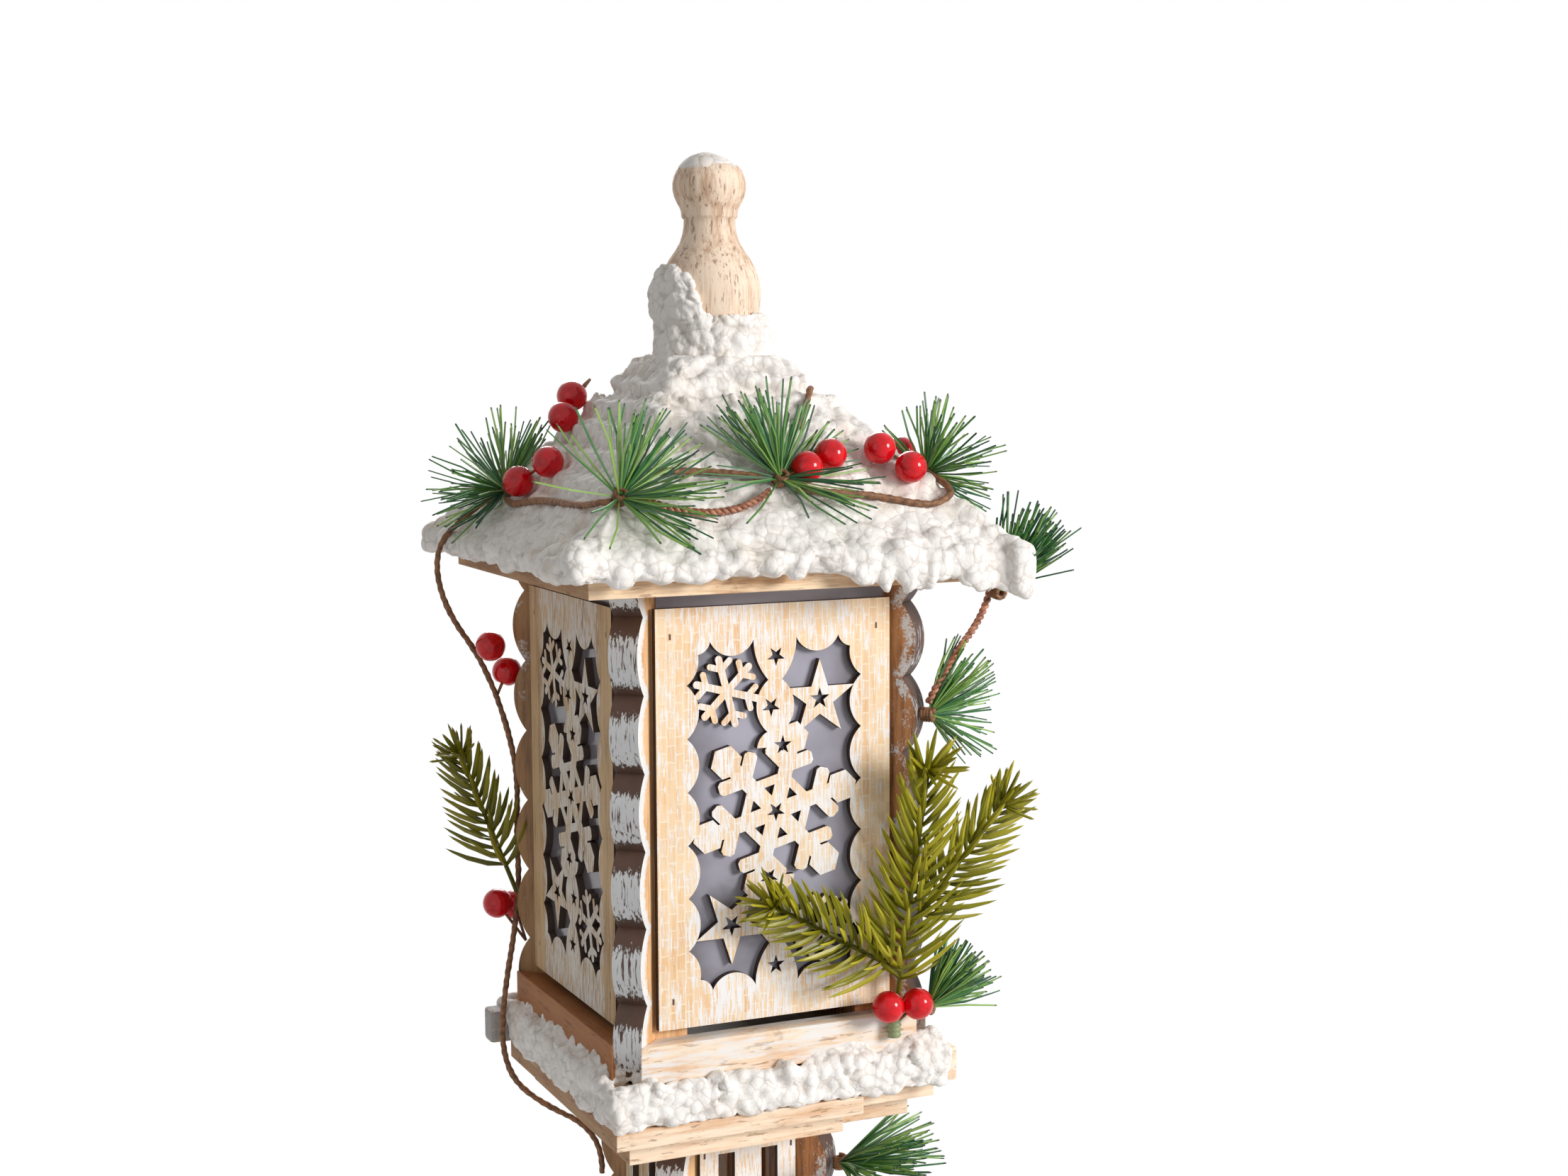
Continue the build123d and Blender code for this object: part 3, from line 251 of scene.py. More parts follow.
def meshPiece(name, vertices, faces, material, node, tones=None, smooth=True):
    mesh = bpy.data.meshes.new(name)
    mesh.from_pydata(vertices, [], faces)
    if tones:
        paintTone(mesh, tones)
    return addPiece(name, mesh, material, node, smooth)


def meshOf(thing):
    # the mesh that an object's modifiers or curve give; the object itself goes
    graph = bpy.context.evaluated_depsgraph_get()
    graph.update()
    mesh = bpy.data.meshes.new_from_object(thing.evaluated_get(graph))
    bpy.data.objects.remove(thing)
    return mesh


def ringFaces(first, rings, sides):
    # quads between rings of vertices that follow one another
    faces = []
    for low in range(first, first + (rings - 1) * sides, sides):
        for step in range(sides):
            follow = (step + 1) % sides
            faces.append((low + step, low + follow, low + sides + follow, low + sides + step))
    return faces


def wander(chance, reach):
    return chance.uniform(-reach, reach)


def circlePoint(first, second, angle):
    return first * math.cos(angle) + second * math.sin(angle)


# camera at the photograph's viewpoint
cameraSet = {
    "place": (-0.38796, -0.93206, 0.28171),  # from the panel's foot
    "yaw": 24.442,
    "pitch": 5.750,
    "roll": -0.283,
    "focalPixels": 3153.04,
    "imageWidth": 2212,
    "sensor": 36.0,
    "clip": (0.05, 30.0),
}


def makeCamera(settings):
    data = bpy.data.cameras.new("photoCamera")
    camera = addObject("photoCamera", data)
    yaw, pitch, roll = (math.radians(settings[key]) for key in ("yaw", "pitch", "roll"))
    look = Vector((math.sin(yaw) * math.cos(pitch), math.cos(yaw) * math.cos(pitch), -math.sin(pitch)))
    right = Vector((math.cos(yaw), -math.sin(yaw), 0.0))
    up = right.cross(look)
    turn = Matrix((circlePoint(right, up, roll), circlePoint(up, -right, roll), -look)).transposed().to_4x4()
    place = Vector(settings["place"]) + Vector((0, 0, panelFoot))
    camera.matrix_world = Matrix.Translation(place) @ turn
    data.sensor_fit = "HORIZONTAL"
    data.sensor_width = settings["sensor"]
    data.lens = settings["sensor"] * settings["focalPixels"] / settings["imageWidth"]
    data.clip_start, data.clip_end = settings["clip"]
    bpy.context.scene.camera = camera


makeCamera(cameraSet)
bpy.context.scene.view_settings.view_transform = "Standard"


# light, floor and white background
studioSet = {
    "lamps": {  # place, size, power
        "keyLamp": ((1.5, -1.9, 1.42), 0.9, 53.0),
        "fillLamp": ((-2.1, -1.3, 1.2), 1.6, 2.0),
        "backLamp": ((0.7, 2.0, 1.7), 1.2, 26.0),
    },
    "aim": (0.0, 0.0, 0.68),
    "worldStrength": 0.32,
    "floorRadius": 1.0,
    "floorSides": 64,
    "floorColor": grey(0.86),
    "floorRoughness": 0.8,
}


def makeStudio(settings):
    world = bpy.data.worlds.new("studioWorld")
    bpy.context.scene.world = world
    world.use_nodes = True
    tree = world.node_tree
    tree.nodes.clear()
    rays = put(tree, "ShaderNodeLightPath").outputs
    seen = calc("MAXIMUM", rays["Is Camera Ray"], rays["Is Glossy Ray"])
    seen = calc("MAXIMUM", seen, rays["Is Transmission Ray"])
    soft, plain = (
        put(tree, "ShaderNodeBackground", {"Color": grey(1.0), "Strength": strength}).outputs[0]
        for strength in (settings["worldStrength"], 1.0)
    )
    both = put(tree, "ShaderNodeMixShader", {0: seen, 1: soft, 2: plain}).outputs[0]
    put(tree, "ShaderNodeOutputWorld", {"Surface": both})
    for name, (place, width, power) in settings["lamps"].items():
        data = bpy.data.lights.new(name, "AREA")
        data.shape = "DISK"
        data.size = width
        data.energy = power
        lamp = addObject(name, data)
        lamp.location = place
        aim = Vector(settings["aim"]) - Vector(place)
        lamp.rotation_euler = aim.to_track_quat("-Z", "Y").to_euler()
    sides = settings["floorSides"]
    turns = [2 * math.pi * step / sides for step in range(sides)]
    radius = settings["floorRadius"]
    mesh = bpy.data.meshes.new("studioFloor")
    rim = [(radius * math.cos(turn), radius * math.sin(turn), 0) for turn in turns]
    mesh.from_pydata(rim, [], [tuple(range(sides))])
    pale = finishUp(newMaterial("paleFloor"), settings["floorColor"], settings["floorRoughness"])
    mesh.materials.append(pale)
    addObject("studioFloor", mesh)


makeStudio(studioSet)
print("studio and camera set")


# effects that several finishes share; a noise is listed as scale, detail, roughness and distortion
streakSet = {
    "strokeNoise": (5.0, 0.62, 0.4),  # its scale is the group's Fineness
    "patchNoise": (70.0, 3.0),
    "shares": (0.78, 0.22),  # of strokes and patches
    "bareLimit": 0.78,
    "limitDrop": 0.56,
}


def makeBrushStreaks(settings):
    # white paint dragged along Z: long thin strokes, thinner and thicker by patches
    inputs = {"Vector": None, "Coverage": 0.5, "Fineness": 900.0, "Stretch": 0.06, "Softness": 0.09}
    tree, given, result = newGroup("brushStreaks", inputs, ["Mask"])
    squeeze = put(tree, "ShaderNodeCombineXYZ", {0: 1.0, 1: 1.0, 2: given["Stretch"]}).outputs[0]
    drawn = vectorCalc("MULTIPLY", given["Vector"], squeeze)
    strokes = noiseValue(drawn, given["Fineness"], *settings["strokeNoise"])
    both = blend(strokes, noiseValue(given["Vector"], *settings["patchNoise"]), settings["shares"])
    limit = minus(settings["bareLimit"], times(given["Coverage"], settings["limitDrop"]))
    feed(tree, result["Mask"], smoothStep(both, limit, plus(limit, given["Softness"])))
    return tree


grainSet = {
    "squeeze": (0.07, 1.0, 1.0),
    "fibreScale": 620.0,
    "fibreNoise": (6.0, 0.66, 0.3),  # without its scale
    "bandScale": 120.0,
    "bandNoise": (3.0, 0.5, 0.8),
    "stainNoise": (38.0, 3.0, 0.5),
    "shares": (0.5, 0.42, 0.3),  # of fibres, bands and stains
    "tones": (0.46, 0.70),
    "heights": (0.7, 0.3),  # of fibres and bands
}


def makeBoardGrain(settings):
    # grain runs along X of the vector that it is given
    inputs = {"Vector": None, "Light": rgb(0.8, 0.6, 0.36), "Dark": rgb(0.5, 0.28, 0.12), "Scale": 1.0}
    tree, given, result = newGroup("boardGrain", inputs, ["Color", "Height"])
    drawn = vectorCalc("MULTIPLY", given["Vector"], settings["squeeze"])
    fibres, bands = (
        noiseValue(drawn, times(given["Scale"], settings[kind + "Scale"]), *settings[kind + "Noise"])
        for kind in ("fibre", "band")
    )
    stains = noiseValue(given["Vector"], *settings["stainNoise"])
    fibreShare, *otherShares = settings["shares"]
    tone = timesPlus(fibres, fibreShare, blend(bands, stains, otherShares))
    share = smoothStep(tone, *settings["tones"])
    feed(tree, result["Color"], mixColor(share, given["Dark"], given["Light"]))
    feed(tree, result["Height"], blend(fibres, bands, settings["heights"]))
    return tree


poreSet = {"squeeze": (0.16, 1.0, 1.0), "noise": (620.0, 3.0, 0.6), "blur": 0.09}


def makeWoodPores(settings):
    # short dark dashes along X of the vector that it is given
    tree, given, result = newGroup("woodPores", {"Vector": None, "Limit": 0.57}, ["Mask"])
    dashes = noiseValue(vectorCalc("MULTIPLY", given["Vector"], settings["squeeze"]), *settings["noise"])
    feed(tree, result["Mask"], smoothStep(dashes, given["Limit"], plus(given["Limit"], settings["blur"])))
    return tree


weaveSet = {
    "shakeScale": 160.0,
    "shake": (0.0024, 0.0013, 0.0),
    "bricks": {
        "Color1": grey(0.08), "Color2": grey(0.42), "Mortar": grey(0.85), "Scale": 1.0,
        "Mortar Size": 0.0005, "Mortar Smooth": 0.6, "Brick Width": 0.0072, "Row Height": 0.0038,
    },
    "fadeNoise": (55.0, 2.0),
    "fade": (0.2, 0.5),
}


def makePlyWeave(settings):
    # basket pattern of the ply's face: staggered rows of slim bricks along X of the vector that it is given
    tree, given, result = newGroup("plyWeave", {"Vector": None}, ["Mask"])
    place = shaken(given["Vector"], settings["shakeScale"], settings["shake"])
    bricks = put(tree, "ShaderNodeTexBrick", {"Vector": place, **settings["bricks"]})
    fade = noiseMask(given["Vector"], settings["fadeNoise"], settings["fade"])
    feed(tree, result["Mask"], times(bricks.outputs["Color"], fade))
    return tree


def makeLobeEdge():
    # distance inward from a scalloped board's edge; Along runs from -1 at the lower cusp to 1 at the upper
    inputs = {"Vector": None, "Cusp": 0.09, "Foot": 0.5, "Pitch": 0.033, "Depth": 0.0063}
    tree, given, result = newGroup("lobeEdge", inputs, ["Distance", "Along"])
    parts = partsOf(given["Vector"])
    radius = times(plus(size(parts[0]), size(parts[1])), math.sqrt(0.5))
    half = times(given["Pitch"], 0.5)
    rise = minus(parts[2], given["Foot"])
    along = calc("DIVIDE", minus(calc("MODULO", rise, given["Pitch"]), half), half)
    bulge = minus(1.0, calc("POWER", size(along), 2.0))
    feed(tree, result["Distance"], minus(timesPlus(bulge, given["Depth"], given["Cusp"]), radius))
    feed(tree, result["Along"], along)
    return tree


brushStreaks = makeBrushStreaks(streakSet)
boardGrain = makeBoardGrain(grainSet)
woodPores = makeWoodPores(poreSet)
plyWeave = makePlyWeave(weaveSet)
lobeEdge = makeLobeEdge()


# whitewashed plywood with burnt cut edges
plySet = {
    "light": rgb(0.96, 0.67, 0.39),
    "dark": rgb(0.80, 0.45, 0.20),
    "weaveTint": rgb(0.99, 0.84, 0.63),
    "weaveShare": 1.0,
    "paint": rgb(0.94, 0.925, 0.925),
    "paintShare": 0.92,
    "burnt": rgb(0.045, 0.024, 0.016),
    "coverage": (0.45, 0.55),  # paint on the rim and in the field
    "fieldHalf": 0.040,
    "fieldBlur": 0.004,
    "strokes": {"Fineness": 1500.0, "Stretch": 0.075, "Softness": 0.06},
    "grainScale": 0.8,
    "cutBelow": 0.6,  # faces that turn away from the sheet's front are cut edges
    "heights": (0.5, 0.5),  # of paint and grain
    "roughness": 0.62,
    "relief": (0.00025, 0.45),  # a bump's depth and strength
}
# a darker copy of the plywood for the left side: its darker wood, weave and paint colours are painted shade
plyPaintedShadeSet = dict(
    plySet, light=rgb(0.62, 0.41, 0.20), dark=rgb(0.25, 0.13, 0.05), weaveTint=rgb(0.60, 0.42, 0.23),
    weaveShare=0.4, paint=rgb(0.76, 0.73, 0.68),
)
plyPieces = {
    "plyFront": ("Y", plySet, ("fret_panel_front", "door_panel", "door_strips")),
    "plySidePaintedShade": ("X", dict(plyPaintedShadeSet, coverage=(0.30, 0.58)), ("fret_panel_left",)),
    "plyRight": ("X", plySet, ("fret_panel_right",)),
    "plyPostFront": ("Y", dict(plySet, coverage=(0.6, 0.6)), ("post_panel_front", "post_panel_rear")),
    "plyPostSidePaintedShade": ("X", dict(plyPaintedShadeSet, coverage=(0.5, 0.5)), ("post_panel_left",)),
    "plyPostRight": ("X", dict(plySet, coverage=(0.6, 0.6)), ("post_panel_right",)),
}


def makePly(name, facing, settings):
    material = newMaterial(name)
    place, normal = whereOn(material)
    across = "X" if facing == "Y" else "Y"
    upright = swizzle(place, "Z" + across + facing)
    tones = {"Light": settings["light"], "Dark": settings["dark"], "Scale": settings["grainScale"]}
    grain = useGroup(boardGrain, {"Vector": upright, **tones})
    weave = times(useGroup(plyWeave, {"Vector": upright})["Mask"], settings["weaveShare"])
    wood = mixColor(weave, grain["Color"], settings["weaveTint"])
    half, blur = settings["fieldHalf"], settings["fieldBlur"]
    inField = smoothStep(size(partsOf(place)[across]), half + blur, half - blur)
    low, high = settings["coverage"]
    coverage = timesPlus(inField, high - low, low)
    streaks = useGroup(brushStreaks, {"Vector": place, "Coverage": coverage, **settings["strokes"]})["Mask"]
    painted = mixColor(times(streaks, settings["paintShare"]), wood, settings["paint"])
    turned = size(vectorCalc("DOT_PRODUCT", normal, (1, 0, 0) if facing == "X" else (0, 1, 0)))
    color = mixColor(calc("LESS_THAN", turned, settings["cutBelow"]), painted, settings["burnt"])
    height = blend(streaks, grain["Height"], settings["heights"])
    return finishUp(material, color, settings["roughness"], height, *settings["relief"])


for finish, (facing, settings, names) in plyPieces.items():
    ply = makePly(finish, facing, settings)
    for name in names:
        dress(name, ply)
print("plywood dressed")


# scalloped boards: stained, dry-brushed white on their edges
boardSet = {
    "lanternCusp": 0.09201,
    "postCusp": 0.04997,
    "edgeDark": rgb(0.040, 0.022, 0.016),
    "edgeBrown": rgb(0.13, 0.055, 0.03),
    "paint": rgb(0.86, 0.865, 0.87),
    "grainScale": 1.0,
    "rimWidth": 0.0062,
    "rimFull": 0.6,  # share of the width
    "rimNoise": (420.0, 3.0),
    "rimWander": 0.007,
    "patchNoise": (90.0, 2.0),
    "gritNoise": (900.0,),
    "breakShares": (0.6, 0.4),  # of patches and grit
    "breakBlur": 0.1,
    "smearShare": 0.7,
    "edgeNoise": (130.0,),
    "crownTop": (1.0, 0.3),
    "crownFoot": (-1.1, -0.6),
    "dabShare": 0.92,
    "dabHeight": 0.6,
    "sideAbove": 0.9,  # faces along the board's thickness are its edge
    "roughness": 0.55,
    "relief": (0.0003, 0.5),
    "smears": {"Fineness": 1300.0, "Stretch": 0.35},
    "dabs": {"Fineness": 900.0, "Stretch": 0.055, "Softness": 0.07},
}
boardTones = {
    "front_left": {
        "light": rgb(0.96, 0.60, 0.31), "dark": rgb(0.64, 0.31, 0.12),
        "rim": 0.95, "breaks": 0.34, "smears": 0.30, "dabs": 0.665, "turn": -1,
    },
    "front_right": {
        "light": rgb(0.64, 0.27, 0.09), "dark": rgb(0.20, 0.07, 0.025),
        "rim": 0.9, "breaks": 0.47, "smears": 0.34, "dabs": 0.45, "turn": 1,
    },
    # the rear boards' darker wood tones are painted shade
    "rear_left": {
        "light": rgb(0.38, 0.20, 0.08), "dark": rgb(0.17, 0.08, 0.03),
        "rim": 0.5, "breaks": 0.56, "smears": 0.16, "dabs": 0.35, "turn": 1,
    },
    "rear_right": {
        "light": rgb(0.36, 0.17, 0.07), "dark": rgb(0.14, 0.06, 0.025),
        "rim": 0.6, "breaks": 0.5, "smears": 0.2, "dabs": 0.4, "turn": -1,
    },
}


def makeBoard(name, tones, cusp, foot, settings):
    material = newMaterial(name)
    place, normal = whereOn(material)
    stain = {"Light": tones["light"], "Dark": tones["dark"], "Scale": settings["grainScale"]}
    grain = useGroup(boardGrain, {"Vector": swizzle(place, "ZXY"), **stain})
    lobe = useGroup(lobeEdge, {"Vector": place, "Cusp": cusp, "Foot": foot})
    wobble = times(minus(noiseValue(place, *settings["rimNoise"]), 0.5), settings["rimWander"])
    reach = plus(lobe["Distance"], wobble)
    width = settings["rimWidth"]
    rim = times(smoothStep(reach, width, width * settings["rimFull"]), tones["rim"])
    smears = {"Vector": place, "Coverage": tones["smears"], **settings["smears"]}
    patches, grit = (noiseValue(place, *settings[key]) for key in ("patchNoise", "gritNoise"))
    whole = blend(patches, grit, settings["breakShares"])
    broken = times(rim, smoothStep(whole, tones["breaks"], tones["breaks"] + settings["breakBlur"]))
    smeared = times(useGroup(brushStreaks, smears)["Mask"], settings["smearShare"])
    side = mixColor(calc("MAXIMUM", broken, smeared), grain["Color"], settings["paint"])
    dark = mixColor(noiseValue(place, *settings["edgeNoise"]), settings["edgeDark"], settings["edgeBrown"])
    crownTop, crownFoot = (smoothStep(lobe["Along"], *settings[key]) for key in ("crownTop", "crownFoot"))
    coverage = times(times(crownTop, crownFoot), tones["dabs"])
    dabbed = useGroup(brushStreaks, {"Vector": place, "Coverage": coverage, **settings["dabs"]})["Mask"]
    edge = mixColor(times(dabbed, settings["dabShare"]), dark, settings["paint"])
    slant = size(vectorCalc("DOT_PRODUCT", normal, (1, tones["turn"], 0)))
    color = mixColor(calc("GREATER_THAN", slant, settings["sideAbove"]), edge, side)
    height = timesPlus(dabbed, settings["dabHeight"], grain["Height"])
    return finishUp(material, color, settings["roughness"], height, *settings["relief"])


for corner, tones in boardTones.items():
    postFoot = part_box("post_corner_" + corner)[0].z
    lanternBoard = makeBoard("lanternBoard_" + corner, tones, boardSet["lanternCusp"], floorTop, boardSet)
    postBoard = makeBoard("postBoard_" + corner, tones, boardSet["postCusp"], postFoot, boardSet)
    dress("corner_board_" + corner, lanternBoard)
    dress("post_corner_" + corner, postBoard)
print("scalloped boards dressed")


# raw pine boards with smears of paint
pineSet = {
    "light": rgb(1.0, 0.81, 0.61),
    "dark": rgb(0.80, 0.50, 0.30),
    "smudge": rgb(0.30, 0.145, 0.06),
    # darkening of the wood on the left side: painted shade
    "leftPaintedShade": rgb(0.47, 0.35, 0.24),
    # grey of the paste daubs on the ledge's left end: painted shade
    "shadedPaste": rgb(0.42, 0.40, 0.38),
    "paint": rgb(0.90, 0.885, 0.87),
    "coverage": (0.30, 0.30),  # paint in general and on the left side
    "strokes": {"Fineness": 420.0, "Stretch": 0.12, "Softness": 0.2},
    "smearShare": 0.85,
    "grainScale": 0.9,
    "turnedAbove": 0.7,
    "stainNoise": (60.0, 5.0, 0.65),
    "stains": (0.60, 0.72),
    "stainShare": 0.55,
    "poreLimit": 0.58,
    "poreShare": 0.62,
    "daubNoise": (170.0, 5.0, 0.65),
    "daubs": (0.30, 0.48),
    "roughness": 0.66,
    "relief": (0.0002, 0.35),
    "leftRail": False,
    "shadedPasteFrom": None,
}
pineFinishes = {
    "pineClean": {},
    "pineSmeared": {"coverage": (0.52, 0.52)},
    "pinePlate": {"coverage": (0.29, 0.29), "light": rgb(0.98, 0.74, 0.50), "dark": rgb(0.60, 0.34, 0.17)},
    # the rail's left side is darkened more: painted shade
    "pineRail": {"coverage": (0.66, 0.06), "leftPaintedShade": rgb(0.38, 0.19, 0.07), "leftRail": True},
    "pineLedge": {"coverage": (0.52, 0.52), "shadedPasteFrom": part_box("ledge_snow")[0].x + 0.004},
    # darker pine for the lantern's floor and the roof's slopes
    "pineDarker": {"coverage": (0.25, 0.25), "light": rgb(0.62, 0.40, 0.20), "dark": rgb(0.32, 0.17, 0.07)},
}
easedBoards = {
    "base_board": "pineClean",
    "base_frame": "pineClean",
    "base_step": "pineClean",
    "lower_frame": "pineClean",
    "upper_frame": "pineClean",
    "bottom_rails": "pineRail",
    "ledge_battens": "pineLedge",
    "roof_plate": "pinePlate",
}
easeSet = {
    "width": 0.0005,
    "wornWidths": {"ledge_battens": 0.0020},
    "flat": math.radians(1.0),
    "sharp": math.radians(40),
    "bevel": {"segments": 2, "profile": 0.6},
}
plainBoards = {
    "lantern_floor": "pineDarker",
    "roof_slopes": "pineDarker",
    "roof_cap": "pineSmeared",
    "turn_button": "pineClean",
}


def makePine(name, settings):
    # boards along X or Y; the left side is darkened: painted shade
    material = newMaterial(name)
    place, normal = whereOn(material)
    turnedPlace = swizzle(place, "YXZ")
    tones = {"Light": settings["light"], "Dark": settings["dark"], "Scale": settings["grainScale"]}
    alongX = useGroup(boardGrain, {"Vector": place, **tones})
    alongY = useGroup(boardGrain, {"Vector": turnedPlace, **tones})
    facing = partsOf(normal)[0]
    across, depth, _ = partsOf(place)
    if settings["leftRail"]:
        onSide = calc("GREATER_THAN", size(across), size(depth))
        onLeft = calc("LESS_THAN", plus(across, size(depth)), 0.0)
    else:
        onSide = calc("GREATER_THAN", size(facing), settings["turnedAbove"])
        onLeft = calc("LESS_THAN", facing, -settings["turnedAbove"])
    wood = mixColor(onSide, alongX["Color"], alongY["Color"])
    stains = noiseMask(place, settings["stainNoise"], settings["stains"])
    wood = mixColor(times(stains, settings["stainShare"]), wood, settings["smudge"])
    poresX, poresY = (
        useGroup(woodPores, {"Vector": vector, "Limit": settings["poreLimit"]})["Mask"]
        for vector in (place, turnedPlace)
    )
    pores = times(mixColor(onSide, poresX, poresY), settings["poreShare"])
    wood = mixColor(pores, wood, settings["smudge"])
    # painted shade: the wood on the left side is multiplied darker
    wood = mixColor(onLeft, wood, mixColor(1.0, wood, settings["leftPaintedShade"], "MULTIPLY"))
    coverage, leftCoverage = settings["coverage"]
    strokes = {"Coverage": timesPlus(onLeft, leftCoverage - coverage, coverage), **settings["strokes"]}
    smears, sideSmears = (
        useGroup(brushStreaks, {"Vector": swizzle(place, order), **strokes})["Mask"]
        for order in ("ZYX", "XZY")
    )
    smeared = times(mixColor(onSide, smears, sideSmears), settings["smearShare"])
    color = mixColor(smeared, wood, settings["paint"])
    # daubs of paste on the ledge's left end, coloured grey: painted shade
    if settings["shadedPasteFrom"] is not None:
        daubs = noiseMask(place, settings["daubNoise"], settings["daubs"])
        daubed = times(daubs, calc("LESS_THAN", across, settings["shadedPasteFrom"]))
        color = mixColor(daubed, color, settings["shadedPaste"])
    height = plus(alongX["Height"], alongY["Height"])
    return finishUp(material, color, settings["roughness"], height, *settings["relief"])


def easeBoard(name, material, settings):
    # copy of a board with its sharp corners eased
    work = bmesh.new()
    work.from_mesh(nodes[name].data)
    bmesh.ops.remove_doubles(work, verts=work.verts, dist=weldGap)
    bmesh.ops.dissolve_limit(work, angle_limit=settings["flat"], verts=work.verts, edges=work.edges)
    corners = [
        edge for edge in work.edges
        if len(edge.link_faces) == 2 and edge.calc_face_angle(0.0) > settings["sharp"]
    ]
    width = settings["wornWidths"].get(name, settings["width"])
    bmesh.ops.bevel(work, geom=corners, offset=width, affect="EDGES", clamp_overlap=True, **settings["bevel"])
    mesh = bpy.data.meshes.new(name + "_eased")
    work.to_mesh(mesh)
    work.free()
    addPiece(name + "_eased", mesh, material, name, smooth=False)


pine = {finish: makePine(finish, dict(pineSet, **changes)) for finish, changes in pineFinishes.items()}
for name, finish in easedBoards.items():
    easeBoard(name, pine[finish], easeSet)
for name, finish in plainBoards.items():
    dress(name, pine[finish])
print("pine boards dressed")


# turned knob
knobSet = {
    "light": rgb(0.99, 0.79, 0.61),
    "dark": rgb(0.60, 0.37, 0.23),
    "pore": rgb(0.30, 0.15, 0.075),
    "smear": rgb(0.9, 0.88, 0.84),
    "smears": {"Coverage": 0.25, "Fineness": 500.0, "Stretch": 0.2},
    "smearShare": 0.6,
    "grainScale": 1.1,
    "poreShare": 0.7,
    "roughness": 0.6,
    "relief": (0.0005, 0.5),
    "frostNoise": (260.0,),
    "frostWander": 0.009,
    "frost": rgb(0.93, 0.91, 0.88),
    "frostFrom": -0.0012,  # from the knob's top
    "frostFull": 0.0006,
    "turns": 72,
    "profile": (  # share of the height, radius in millimetres
        (0.0, 19.0), (0.055, 19.0), (0.09, 17.6), (0.15, 19.4), (0.22, 21.4), (0.29, 22.5), (0.36, 22.75),
        (0.42, 21.9), (0.47, 20.2), (0.51, 18.3), (0.55, 15.6), (0.59, 13.4), (0.63, 12.2), (0.67, 11.6),
        (0.70, 11.5), (0.706, 12.3), (0.715, 12.6), (0.735, 12.7), (0.755, 13.3), (0.78, 14.6), (0.81, 15.8),
        (0.84, 16.4), (0.87, 16.4), (0.90, 15.8), (0.93, 14.6), (0.955, 12.6), (0.975, 10.2), (0.99, 7.6),
        (0.998, 4.0),
    ),
}


def makeKnob(settings):
    material = newMaterial("knobWood")
    place, _ = whereOn(material)
    upright = swizzle(place, "ZXY")
    tones = {"Light": settings["light"], "Dark": settings["dark"], "Scale": settings["grainScale"]}
    grain = useGroup(boardGrain, {"Vector": upright, **tones})
    smears = useGroup(brushStreaks, {"Vector": place, **settings["smears"]})["Mask"]
    color = mixColor(times(smears, settings["smearShare"]), grain["Color"], settings["smear"])
    pores = useGroup(woodPores, {"Vector": upright})["Mask"]
    color = mixColor(times(pores, settings["poreShare"]), color, settings["pore"])
    ragged = noiseValue(place, *settings["frostNoise"])
    ragged = timesPlus(ragged, settings["frostWander"], partsOf(place)[2])
    frost = smoothStep(ragged, knobTop + settings["frostFrom"], knobTop + settings["frostFull"])
    color = mixColor(frost, color, settings["frost"])
    height = minus(grain["Height"], pores)
    return finishUp(material, color, settings["roughness"], height, *settings["relief"])


def turnKnob(settings, material):
    turns, rings = settings["turns"], len(settings["profile"])
    vertices = []
    for share, radius in settings["profile"]:
        for step in range(turns):
            angle = 2 * math.pi * step / turns
            level = knobFoot + (knobTop - knobFoot) * share
            vertices.append((radius / 1000 * math.cos(angle), radius / 1000 * math.sin(angle), level))
    faces = ringFaces(0, rings, turns)
    faces.append(tuple(reversed(range(turns))))
    faces.append(tuple((rings - 1) * turns + step for step in range(turns)))
    meshPiece("turnedKnob", vertices, faces, material, "finial")


turnKnob(knobSet, makeKnob(knobSet))


# smoky panes
paneSet = {
    "middle": rgb(0.44, 0.425, 0.50),
    # colour of the painted shade at the panes' edges
    "edge": rgb(0.17, 0.15, 0.165),
    "shadeFrom": 0.012,
    "shadeFull": 0.052,
    "cloudNoise": (30.0, 3.0),
    "cloudShare": 1.5,
    "roughness": 0.16,
    "bending": 1.45,
    "plateGap": 0.0004,
    "topBand": 0.003,
}


def makePane(settings):
    material = newMaterial("smokyPane")
    place, _ = whereOn(material)
    # painted shade: the panes darken from the middle towards their edges
    paintedEdgeShade = smoothStep(size(partsOf(place)["X"]), settings["shadeFrom"], settings["shadeFull"])
    cloud = times(minus(noiseValue(place, *settings["cloudNoise"]), 0.5), settings["cloudShare"])
    color = mixColor(calc("ADD", paintedEdgeShade, cloud, clamp=True), settings["middle"], settings["edge"])
    return finishUp(material, color, settings["roughness"], IOR=settings["bending"])


def raisePanes(settings, material):
    # the panes reach up to the roof plate, above the fretwork
    mesh = nodes["panes"].data.copy()
    top = max(vertex.co.z for vertex in mesh.vertices)
    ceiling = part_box("roof_plate")[0].z - settings["plateGap"]
    for vertex in mesh.vertices:
        if vertex.co.z > top - settings["topBand"]:
            vertex.co.z = ceiling
    addPiece("tallPanes", mesh, material, "panes", smooth=False)


smokyPane = makePane(paneSet)
raisePanes(paneSet, smokyPane)
dress("door_pane", smokyPane)


